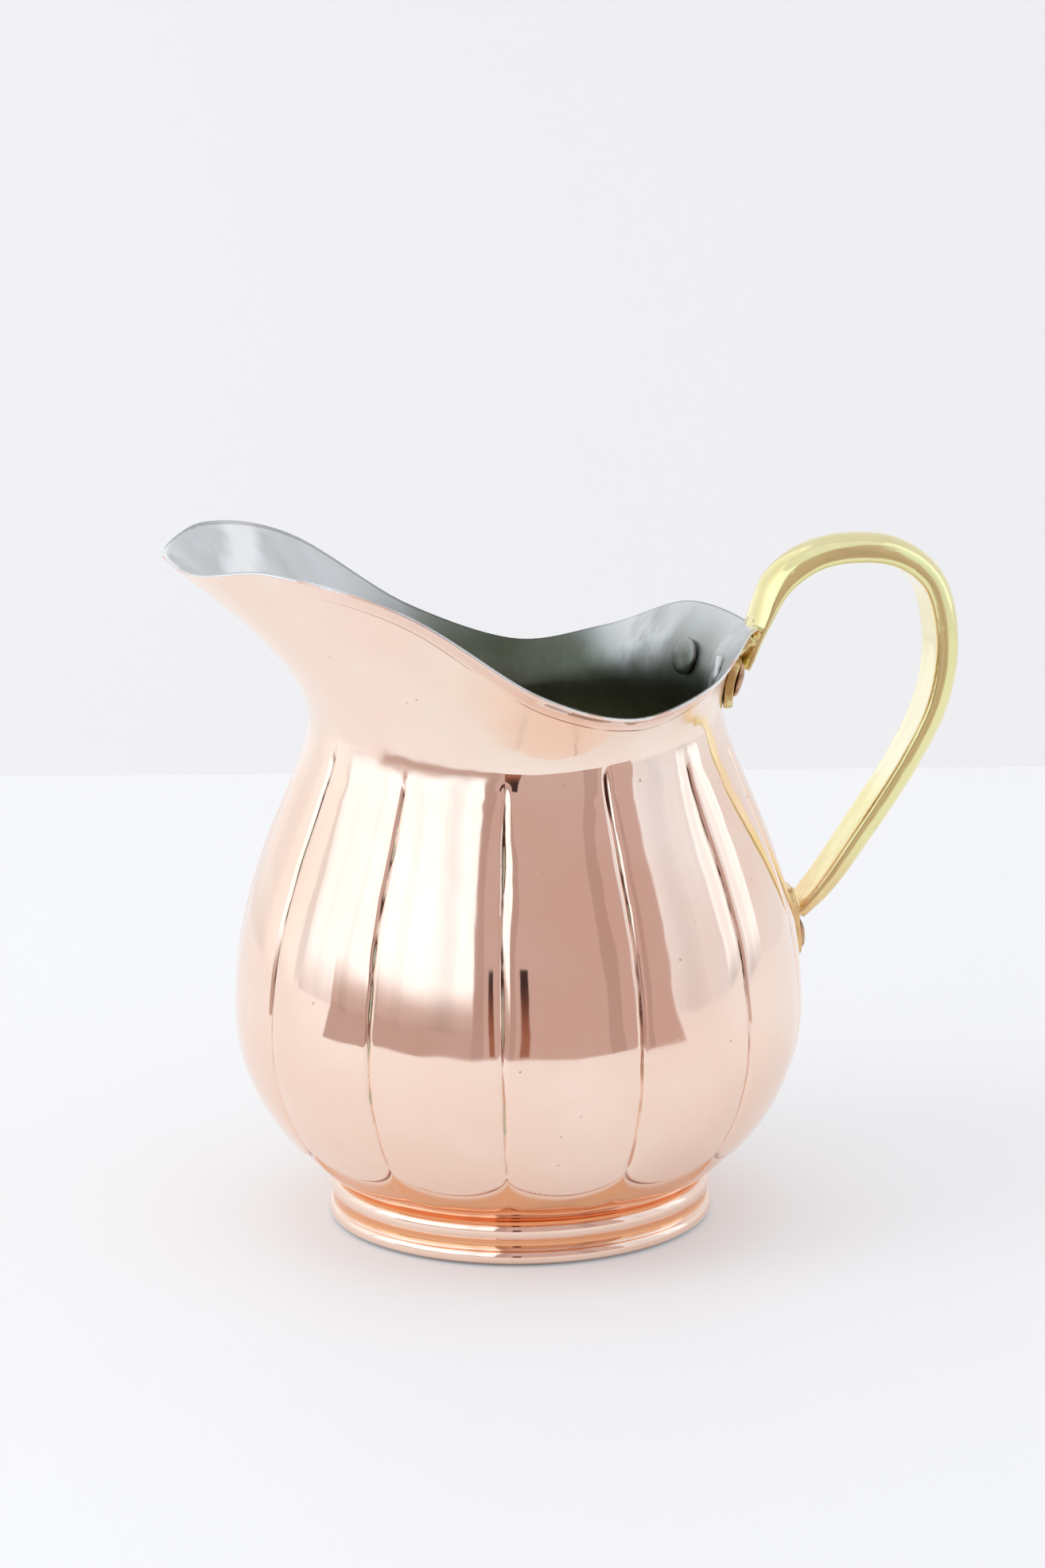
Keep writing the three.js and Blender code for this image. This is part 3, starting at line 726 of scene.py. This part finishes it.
def below_rim(profile, outside_rows):
    """Distance along the sheet under the rim, for the outside rows; far away for the rest."""
    steps = np.linalg.norm(np.diff(profile[:outside_rows + 2], axis=0), axis=2)
    distance = np.full(profile.shape[:2], FAR)
    distance[:outside_rows + 1] = np.cumsum(steps[::-1], axis=0)[::-1]
    return distance.ravel()


def build_lining():
    degrees = column_angles()[::2]
    line = meridians(degrees, LINING_ROWS)
    height = line[:, :, 1]
    along = tangents(line)
    inward = inward_from(along)
    turns, nearest = lobe_turns(degrees)
    share = np.clip(np.abs(turns - nearest) * 2, 0, 1)[None, :]
    ridge = TIN_RIDGE * (1 - share) ** 6 * smoothstep(height, 20, 28) * (1 - smoothstep(height, 84, 92))
    seen = line + inward * (thinned(line, LINING_INNER, RIM_TIN) + ridge)[:, :, None]
    uneven = hammering(to_row(degrees, seen).reshape(-1, 3) / MM, LINING_SEED).reshape(ridge.shape)
    seen = seen + inward * (TIN_UNEVEN * uneven * thinned(line, 1.0, 0.3))[:, :, None]
    back = line + inward * thinned(line, LINING_OUTER, RIM_SHEET - OVERLAP)[:, :, None]
    back[-1] -= along[-1] * TIN_SHORT
    top = np.stack([back[-1] + inward[-1] * OVERLAP + along[-1] * TIN_SHORT, seen[-1]])
    profile = np.concatenate([back[:-1:3], top, seen[::-1][1:]])
    lining = ring_mesh("wiped_tin_lining", to_row(degrees, profile), WIPED_TIN)
    point_out(lining)
    settle(lining, "tin_lining")


# ---- Foot ring and solder --------------------------------------------
FOOT_INNER = 33.6
FLOOR_RADIUS = 35.2
# Centre, radius, first and last degree and points of the lower bead, the groove and the upper bead
FOOT_ARCS = [((35.1, 1.75), 1.62, -72, 48, 26), ((37.3, 4.2), 1.68, 228, 138, 20),
             ((34.55, 6.6), 1.95, -42, 68, 30)]
FOOT_COLUMNS = 400
FOOT_UNEVEN = 0.04
SOLDER_WIDTH = 1.9
SOLDER_DEPTH = 1.6
SOLDER_HOLLOW = 1.45
SOLDER_COLUMNS = 320
SOLDER_UNEVEN = 0.3


def arc_points(centre, radius, start, end, steps):
    a = np.radians(np.linspace(start, end, steps))
    return [(centre[0] + radius * math.cos(t), centre[1] + radius * math.sin(t)) for t in a]


def underside_height(reach):
    return BELLY_HEIGHT - BELLY_DROP * math.sqrt(1 - (reach / BELLY_RADIUS) ** 2)


def lathe(name, profile, columns, material, uneven):
    """Turns a closed profile of reach and height round the axis, a little unevenly."""
    degrees = np.arange(columns) * 360.0 / columns
    rows = np.repeat(np.array(profile)[:, None, :], columns, 1)
    points = to_row(degrees, rows).tolist()
    shift = np.array([[noise.noise(Vector(p) * 45.0) for p in ring] for ring in points])
    rows[:, :, 0] -= uneven * (shift + 0.5)
    rings = to_row(degrees, rows)
    obj = ring_mesh(name, np.concatenate([rings, rings[:1]]), material, closed_ends=False)
    point_out(obj, weld=True)
    return obj


def build_foot():
    profile = [(FOOT_INNER, 0.35), (FOOT_INNER + 0.12, 0.1), (FOOT_INNER + 0.35, 0.0),
               (FLOOR_RADIUS - 0.2, 0.0)]
    for arc in FOOT_ARCS:
        profile += arc_points(*arc)
    profile += [(34.75, 8.45), (34.3, 8.3), (FOOT_INNER, underside_height(FOOT_INNER) - 0.05)]
    foot = lathe("moulded_foot_ring", profile, FOOT_COLUMNS, FOOT_COPPER, FOOT_UNEVEN)
    settle(foot, "foot_ring")


def build_solder():
    outer = FOOT_INNER + 0.05
    inner = outer - SOLDER_WIDTH
    top_outer = underside_height(outer) - 0.02
    top_inner = underside_height(inner) + 0.02
    profile = [(outer, top_outer - SOLDER_DEPTH), (outer, top_outer), (inner, top_inner),
               (inner + 0.1, top_inner - 0.12)]
    profile += arc_points((inner + 0.1, top_outer - SOLDER_DEPTH), SOLDER_HOLLOW, 75, 5, 9)
    solder = lathe("solder_fillet", profile, SOLDER_COLUMNS, SOLDER, SOLDER_UNEVEN)
    settle(solder, "foot_solder")


# ---- Points on the wall ----------------------------------------------
def wall_frame(degrees, height):
    """Point on the outside of the wall and the direction straight out of it, in millimetres."""
    line = meridians(np.array([float(degrees)]), WALL_ROWS)[:, 0]
    rising = line[WALL_ROWS[0]:]
    reach, above, below = (np.interp(height + step, rising[:, 1], rising[:, 0]) for step in (0, 1, -1))
    lean = (above - below) / 2
    a = math.radians(degrees)
    point = Vector((AXIS - reach * math.cos(a), -reach * math.sin(a), height))
    return point, Vector((-math.cos(a), -math.sin(a), -lean)).normalized()


# Degrees, height, brass under the head and how far the inner head stands off, for each rivet
RIVET_PLACES = {
    "upper_rivet_left": (165.0, 103.6, 1.8, 0.25),
    "upper_rivet_right": (195.0, 103.6, 1.8, 0.25),
    "lower_rivet": (180.0, 50.2, 2.0, 0.7),
}
RIVET_HEAD = 3.3
RIVET_HEAD_INSIDE = 3.6
RIVET_SHANK = 1.6
RIVET_EDGE = 0.1  # thickness of the heads at their rims
RIVET_BEVEL = 0.12
RIVET_RISE = 1.2
RIVET_RISE_INSIDE = 0.95
RIVET_ROWS = 14
RIVET_COLUMNS = 64
RIVET_UNEVEN = 0.12


def build_rivet(node):
    degrees, height, plate, seat = RIVET_PLACES[node]
    point, out = wall_frame(degrees, height)
    outer = plate + 0.3
    inner = -(WALL + 0.65 + seat)
    turns = np.linspace(0.0, math.pi / 2, RIVET_ROWS)
    head = [(RIVET_HEAD * math.cos(a), outer + RIVET_RISE * math.sin(a) ** 0.85) for a in turns]
    inside = [(RIVET_HEAD_INSIDE * math.cos(a) ** 0.6, inner - RIVET_RISE_INSIDE * math.sin(a) ** 0.5)
              for a in turns[::-1]]
    low, high = inner + RIVET_EDGE, outer - RIVET_EDGE
    shank = [(RIVET_HEAD_INSIDE - RIVET_BEVEL, low), (RIVET_SHANK, low), (RIVET_SHANK, high),
             (RIVET_HEAD - RIVET_BEVEL, high)]
    turn = Vector((0, 0, 1)).rotation_difference(out).to_matrix()
    rings = []
    for reach, lift in inside[1:] + shank + head[:-1]:
        ring = []
        for a in 2 * math.pi * np.arange(RIVET_COLUMNS) / RIVET_COLUMNS:
            local = Vector((reach * math.cos(a), reach * math.sin(a), lift))
            bulge = noise.noise(local * 0.55 + Vector((height, degrees, 0)))
            local.z += RIVET_UNEVEN * bulge * (1 if lift > 0 else -1) * (reach / RIVET_HEAD)
            ring.append(list((point + turn @ local) * MM))
        rings.append(ring)
    rivet = ring_mesh(node.replace("rivet", "rivet_peened"), np.array(rings), RIVET, WIPED_TIN)
    cap = (len(rings) - 1) * RIVET_COLUMNS
    second_finish(rivet, (0, RIVET_ROWS * RIVET_COLUMNS), (cap, cap + RIVET_COLUMNS))
    point_out(rivet)
    settle(rivet, node)


# ---- Handle ----------------------------------------------------------
STRAP = np.array([  # distance from the axis, height and thickness
    [43.8, 103.6, 2.2], [47.3, 111.6, 2.9], [51.4, 119.6, 4.9], [58.0, 124.0, 5.2],
    [66.0, 125.3, 5.4], [75.4, 123.8, 5.5], [82.4, 118.2, 5.6], [85.3, 107.0, 5.7],
    [83.6, 94.5, 5.5], [78.0, 83.3, 5.3], [68.6, 69.8, 5.0], [61.0, 59.8, 4.4], [55.7, 54.6, 3.0],
])
STRAP_STEPS = 14
STRAP_WIDTH = 10.8
STRAP_WIDTH_LOWER = 9.2
STRAP_UNEVEN = 0.018
LUG_HALF = 14.2
LUG_BOTTOM = 97.7
LUG_TOP = 107.3
LUG_THICKNESS = 1.7
LUG_CORNERS = [3, 3, 3, 2.5, 0.1, 0.1, 2.5, 3]
TAB_BOTTOM = 45.8
TAB_TOP = 60.0
TAB_THICKNESS = 2.0
PLATE_CUTS = 14
CORNER_STEPS = 5
EAR_MIDDLE = (64.0, 96.0)  # of the opening, from the axis and from the floor
VOXEL = 0.33
SOFTENING_PASSES = 7


def catmull_rom(points, per_span):
    """Centripetal Catmull-Rom curve through the points, as the CAD strap follows."""
    ends = [2 * points[0] - points[1], *points, 2 * points[-1] - points[-2]]
    out = []
    for i in range(1, len(ends) - 2):
        p0, p1, p2, p3 = ends[i - 1:i + 3]
        d1, d2, d3 = (np.linalg.norm(b[:2] - a[:2]) ** 0.5 for a, b in ((p0, p1), (p1, p2), (p2, p3)))
        m1 = ((p1 - p0) / d1 - (p2 - p0) / (d1 + d2) + (p2 - p1) / d2) * d2
        m2 = ((p2 - p1) / d2 - (p3 - p1) / (d2 + d3) + (p3 - p2) / d3) * d2
        out += [hermite(t, p1, m1, p2, m2) for t in np.linspace(0, 1, per_span, endpoint=False)]
    out.append(points[-1])
    return np.array(out)


def strap_section():
    """Flat inner face, short sides and a crowned outer face, as shares of width and thickness."""
    crown = [(0.5 * math.sin(a), 0.72 * math.cos(a) - 0.22) for a in np.radians(np.linspace(0, 90, 13))]
    corner = [(0.4 + 0.1 * math.cos(a), -0.22 - 0.28 * math.sin(a)) for a in np.radians([22, 45, 68, 90])]
    half = crown + corner + [(0.25, -0.5), (0.12, -0.498)]
    mirrored = [(-x, y) for x, y in half[1:]][::-1]
    return half + [(0.0, -0.497)] + mirrored


def build_strap():
    line = catmull_rom(STRAP, STRAP_STEPS)
    along = np.gradient(line[:, :2], axis=0)
    along /= np.linalg.norm(along, axis=1, keepdims=True)
    widths = np.linspace(STRAP_WIDTH, STRAP_WIDTH_LOWER, len(line))
    rings = []
    for (x, z, thick), (tx, tz), wide in zip(line, along, widths):
        middle = np.array([AXIS + x, 0, z])
        ring = []
        for across, out in strap_section():
            offset = np.array([-tz * out * thick, across * wide, tx * out * thick])
            pull = 1 - STRAP_UNEVEN * (noise.noise(Vector(middle + offset) * 0.11) + 0.5)
            ring.append((middle + offset * pull) * MM)
        rings.append(ring)
    return ring_mesh("strap", np.array(rings), BRASS)


def sliced(bm, places, normal):
    """Cuts the mesh by planes that stand square to one axis."""
    for place in places:
        geometry = bm.verts[:] + bm.edges[:] + bm.faces[:]
        bmesh.ops.bisect_plane(bm, geom=geometry, plane_co=Vector(normal) * place, plane_no=normal)


def build_plate(name, outline, thickness):
    """A plate of even thickness that lies on the wall; the outline is (across, height) points."""
    bm = bmesh.new()
    face = bm.faces.new([bm.verts.new((0, y, z)) for y, z in outline])
    bmesh.ops.triangulate(bm, faces=[face])
    low = min(z for _, z in outline)
    high = max(z for _, z in outline)
    wide = max(abs(y) for y, _ in outline)
    sliced(bm, np.linspace(low, high, PLATE_CUTS + 1)[1:-1], (0, 0, 1))
    sliced(bm, np.linspace(-wide, wide, 2 * PLATE_CUTS + 1)[1:-1], (0, 1, 0))
    bmesh.ops.dissolve_limit(bm, angle_limit=0.01, verts=[], edges=[])
    raised = bmesh.ops.extrude_face_region(bm, geom=bm.faces[:])
    top = {v for v in raised["geom"] if isinstance(v, bmesh.types.BMVert)}
    for v in bm.verts:
        v.co = on_wall(v.co.y, v.co.z, thickness + 0.15 if v in top else 0.05) * MM
    plate = from_bmesh(name, bm, BRASS)
    point_out(plate)
    return plate


def on_wall(y, z, lift):
    """The point that stands off the wall on the handle's side, at an offset across and a height."""
    angle = 180.0
    for _ in range(3):
        point, out = wall_frame(angle, z)
        reach = math.hypot(point.x - AXIS, point.y) + lift * math.hypot(out.x, out.y)
        angle = 180.0 + math.degrees(math.asin(max(-1, min(1, y / reach))))
    point, out = wall_frame(angle, z)
    return point + out * lift


def rounded_outline(points, radii):
    """Replaces each corner of a closed outline by a small arc."""
    out = []
    count = len(points)
    for i in range(count):
        before, here, after = (Vector(points[(i + k) % count]) for k in (-1, 0, 1))
        a = before - here
        b = after - here
        r = min(radii[i], a.length * 0.49, b.length * 0.49)
        start = here + a.normalized() * r
        end = here + b.normalized() * r
        for t in np.linspace(0, 1, CORNER_STEPS):
            p = start * (1 - t) ** 2 + here * 2 * t * (1 - t) + end * t ** 2
            out.append((p.x, p.y))
    return out


def build_handle():
    strap = build_strap()
    side = STRAP_WIDTH / 2
    lug_points = [(-LUG_HALF, LUG_BOTTOM), (LUG_HALF, LUG_BOTTOM), (LUG_HALF, LUG_TOP),
                  (side, LUG_TOP), (side, LUG_TOP + 3), (-side, LUG_TOP + 3), (-side, LUG_TOP),
                  (-LUG_HALF, LUG_TOP)]
    lug = build_plate("lug", rounded_outline(lug_points, LUG_CORNERS), LUG_THICKNESS)
    half = STRAP_WIDTH_LOWER / 2
    tab_outline = arc_points((0, TAB_BOTTOM + half), half, -180, 0, 24) + [(half, TAB_TOP), (-half, TAB_TOP)]
    tab = build_plate("tab", tab_outline, TAB_THICKNESS)
    handle = join_remeshed("brass_ear_handle", [strap, lug, tab])
    settle(handle, "handle")


def join_remeshed(name, parts):
    """Runs the parts together as one casting with softened corners."""
    bm = bmesh.new()
    for obj in parts:
        bm.from_mesh(obj.data)
        bpy.data.objects.remove(obj)
    whole = from_bmesh(name, bm, BRASS)
    remesh = whole.modifiers.new("cast", "REMESH")
    remesh.mode = "VOXEL"
    remesh.voxel_size = VOXEL * MM
    remesh.use_smooth_shade = True
    soft = whole.modifiers.new("soften", "SMOOTH")
    soft.factor = 0.5
    soft.iterations = SOFTENING_PASSES
    apply_modifiers(whole)
    whole.data.shade_smooth()
    fit_in_box(whole, "handle")
    for layer, values in brass_shares(whole).items():
        float_attribute(whole, layer, values)
    return whole


def apply_modifiers(obj):
    graph = bpy.context.evaluated_depsgraph_get()
    made = bpy.data.meshes.new_from_object(obj.evaluated_get(graph))
    obj.modifiers.clear()
    old = obj.data
    obj.data = made
    bpy.data.meshes.remove(old)


def fit_in_box(obj, node):
    """Holds every point inside the CAD node's box."""
    low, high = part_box(node)
    points = np.clip(triples(obj.data.vertices, "co"), np.array(low), np.array(high))
    obj.data.vertices.foreach_set("co", points.ravel())
    obj.data.update()


def brass_shares(obj):
    """Shares of the unpolished casting skin on the lug, in the corners and on the tab, of the inner face that
    gets a painted highlight, of the corner beside it that gets a painted dark reflection, and of the strap's
    sides that get a painted olive reflection."""
    points = triples(obj.data.vertices, "co") / MM
    normals = triples(obj.data.vertex_normals, "vector")
    x = points[:, 0] - AXIS
    z = points[:, 2]
    sideways = np.abs(normals[:, 1])
    lug = (1 - smoothstep(x, 44.0, 47.5)) * (1 - smoothstep(z, 106.5, 112.0))
    tab = (1 - smoothstep(x, 55.5, 59.5)) * (1 - smoothstep(z, 53.0, 58.0))
    towards = np.array(EAR_MIDDLE) - np.stack([x, z], 1)
    towards /= np.linalg.norm(towards, axis=1, keepdims=True)
    facing = normals[:, 0] * towards[:, 0] + normals[:, 2] * towards[:, 1]
    on_strap = smoothstep(x, 45.0, 50.0)
    return {
        "skin": np.clip(lug + tab, 0, 1),
        "inner": smoothstep(facing, 0.8, 0.96) * on_strap,
        "corner": np.exp(-((facing - 0.55) / 0.13) ** 2) * smoothstep(sideways, 0.5, 0.8) * on_strap,
        "side": smoothstep(sideways, 0.6, 0.9) * on_strap,
    }


# ---- Stage -----------------------------------------------------------
CAMERA_AZIMUTH = math.radians(15.214)
CAMERA_RISE = math.radians(12.502)
CAMERA_ROLL = math.radians(0.5376)
CAMERA_DISTANCE = 0.8249
AIM_HEIGHT = 0.08339
LENS = 100.44
SHIFT = 0.00396
WALL_BEHIND = 0.392
TABLE_EDGE = 0.288  # where the dark room begins in front of the pitcher
CARD_FOOT = -0.005
CARD_TOP = 1.6
FLAT_CARD_STEPS = 24

DARK = (0.60, 0.46, 0.44)
DARKER = (0.50, 0.37, 0.35)
LOW_DARK = (0.56, 0.43, 0.41)
DIM = (0.86, 0.88, 0.95)
PALE = (1.30, 1.42, 1.54)
NEUTRAL = (1.12, 1.14, 1.17)


def build_camera():
    s, c = math.sin(CAMERA_AZIMUTH), math.cos(CAMERA_AZIMUTH)
    level, up_share = math.cos(CAMERA_RISE), math.sin(CAMERA_RISE)
    back = Vector((-s * level, -c * level, up_share))
    right = Vector((c, -s, 0))
    up = back.cross(right)
    rolled_right = right * math.cos(CAMERA_ROLL) - up * math.sin(CAMERA_ROLL)
    rolled_up = right * math.sin(CAMERA_ROLL) + up * math.cos(CAMERA_ROLL)
    data = bpy.data.cameras.new("camera")
    data.lens = LENS
    data.sensor_width = 36.0
    data.shift_x = SHIFT
    data.clip_start = 0.01
    data.clip_end = 50
    camera = new_object("camera", data)
    turn = Matrix((rolled_right, rolled_up, back)).transposed().to_4x4()
    camera.matrix_world = Matrix.Translation(Vector((AXIS_X, 0, AIM_HEIGHT)) + back * CAMERA_DISTANCE) @ turn
    bpy.context.scene.camera = camera


def seen_at(azimuth, distance, height):
    """A point at an angle to the right of the camera as the pitcher sees it, in degrees."""
    towards = Vector((-math.sin(CAMERA_AZIMUTH), -math.cos(CAMERA_AZIMUTH), 0))
    turn = Matrix.Rotation(math.radians(azimuth), 3, "Z")
    return Vector((AXIS_X, 0, 0)) + turn @ towards * distance + Vector((0, 0, height))


def backdrop(name, corners, color, glow_share):
    """A matte white plane that shows from its front only, so it never hides the pitcher."""
    s = Shader(name + "_white", "BsdfPrincipled", Roughness=0.6, Specular_IOR_Level=0.2,
               Emission_Color=(0.95, 0.96, 1.0), Emission_Strength=glow_share)
    grained = s.mix(s.noise(3.0, 3, 0.5), color, tuple(0.985 * v for v in color))
    shaded = s.mix(s.span(s.axis("Z"), 0.1, 0.55), grained, tuple(0.9 * v for v in color))
    s.link(shaded, s.face.inputs["Base Color"])
    choose = s.node("MixShader")
    s.link(s.node("NewGeometry").outputs["Backfacing"], choose.inputs[0])
    s.link(s.face.outputs[0], choose.inputs[1])
    s.link(s.node("BsdfTransparent").outputs[0], choose.inputs[2])
    s.link(choose.outputs[0], s.output.inputs["Surface"])
    new_mesh(name, corners, [(0, 1, 2, 3)], s.material)


def glow(name, stops, folds):
    """A plain light that changes colour with height; stops are (metres, colour).

    Folds are soft upright stripes, darker by that share, as of a curtain.
    """
    color = stops[0][1]
    s = Shader(name, "Emission", Color=color, Strength=1.0)
    for (low, _), (high, after) in zip(stops, stops[1:]):
        color = s.mix(s.span(s.axis("Z"), low, high), color, after)
    s.feed(color, s.face.inputs["Color"])
    if folds:
        stripes = s.noise(5.0, 3.0, 0.5, s.stretched(1, 1, 0.04))
        s.feed(s.span(stripes, 0.36, 0.56, 1.0 - folds, 1.0, smooth=False), s.face.inputs["Strength"])
    return s.material


def card(name, pairs, stops, folds=0.0):
    """A strip through pairs of points that only the pitcher's reflections see."""
    points = [point for pair in pairs for point in pair]
    faces = [(2 * i, 2 * i + 2, 2 * i + 3, 2 * i + 1) for i in range(len(pairs) - 1)]
    obj = new_mesh(name, points, faces, glow(name, stops, folds))
    obj.visible_camera = False
    obj.visible_diffuse = False
    obj.visible_shadow = False
    obj.visible_transmission = False


def curved_card(name, azimuths, stops, folds=0.0, distance=0.95, heights=(CARD_FOOT, CARD_TOP)):
    """An upright card round the pitcher."""
    steps = max(2, int(abs(azimuths[1] - azimuths[0]) / 4))
    angles = np.linspace(*azimuths, steps + 1)
    card(name, [[seen_at(a, distance, height) for height in heights] for a in angles], stops, folds)


def flat_card(name, azimuths, distances, height, color):
    """A flat ring sector just above the floor."""
    angles = np.linspace(*azimuths, FLAT_CARD_STEPS + 1)
    card(name, [[seen_at(a, distance, height) for distance in distances] for a in angles], [(0.0, color)])


def build_stage():
    backdrop("floor", [(-3, -3, 0), (3, -3, 0), (3, 3, 0), (-3, 3, 0)], (0.70, 0.69, 0.68), 0.27)
    away = Vector((math.sin(CAMERA_AZIMUTH), math.cos(CAMERA_AZIMUTH), 0))
    along = Vector((math.cos(CAMERA_AZIMUTH), -math.sin(CAMERA_AZIMUTH), 0)) * 2
    base = Vector((AXIS_X, 0, 0)) + away * WALL_BEHIND
    top = base + Vector((0, 0, 2))
    backdrop("wall", [base - along, base + along, top + along, top - along], (0.80, 0.785, 0.775), 0.12)
    curved_card("room_dark", (-15, 62), [(0.0, DARK)])
    curved_card("room_edge", (62, 74), [(0.0, DARK)], heights=(0.95, CARD_TOP))
    curved_card("door_edge", (-15, -8), [(0.0, DARKER)], distance=0.94)
    curved_card("shelf_edge", (36, 45), [(0.0, DARKER)], distance=0.94)
    curved_card("room_left", (-77, -15), [(0.0, LOW_DARK), (0.05, (0.64, 0.52, 0.50)), (0.24, PALE)], 0.2)
    curved_card("room_far_left", (-96, -77), [(0.0, (0.90, 0.90, 0.95)), (0.2, PALE)], 0.2)
    curved_card("room_right", (62, 94), [(0.0, DIM), (0.8, (0.95, 1.02, 1.12))], 0.12, distance=0.96)
    curved_card("window_right", (94, 130), [(0.0, DIM), (0.12, PALE)], 0.2, distance=0.96,
                heights=(CARD_FOOT, 1.5))
    curved_card("window_side", (-168, -96), [(0.0, (0.93, 0.95, 0.97)), (0.07, NEUTRAL)], 0.15,
                distance=0.355, heights=(0.03, 0.8))
    curved_card("figure", (-4.5, 0.5), [(0.0, (0.30, 0.12, 0.08)), (0.25, (0.05, 0.03, 0.03))],
                distance=0.9, heights=(CARD_FOOT, 0.31))
    flat_card("floor_front", (-15, 62), (TABLE_EDGE, 0.95), 0.0004, DARK)
    flat_card("floor_left", (-77, -15), (TABLE_EDGE, 0.95), 0.0004, LOW_DARK)
    flat_card("floor_door_edge", (-15, -8), (TABLE_EDGE, 0.94), 0.0008, DARKER)
    flat_card("floor_shelf_edge", (36, 45), (TABLE_EDGE, 0.94), 0.0008, DARKER)
    flat_card("floor_figure", (-4.5, 0.5), (TABLE_EDGE + 0.02, 0.90), 0.0008, (0.34, 0.15, 0.10))


def build_light():
    world = bpy.data.worlds.new("soft_room")
    bpy.context.scene.world = world
    world.use_nodes = True
    back = world.node_tree.nodes["Background"]
    back.inputs["Color"].default_value = (0.90, 0.94, 1.0, 1)
    back.inputs["Strength"].default_value = 0.97
    data = bpy.data.lights.new("key", "AREA")
    data.size = 0.9
    data.energy = 4.0
    key = new_object("key", data)
    key.location = seen_at(-65, 1.2, 1.1)
    key.rotation_euler = (Vector((AXIS_X, 0, 0.05)) - key.location).to_track_quat("-Z", "Y").to_euler()
    key.visible_glossy = False
    bpy.context.scene.view_settings.view_transform = "Standard"


build_body()
build_lining()
build_foot()
build_solder()
for rivet_node in RIVET_PLACES:
    build_rivet(rivet_node)
build_handle()
build_stage()
build_light()
build_camera()
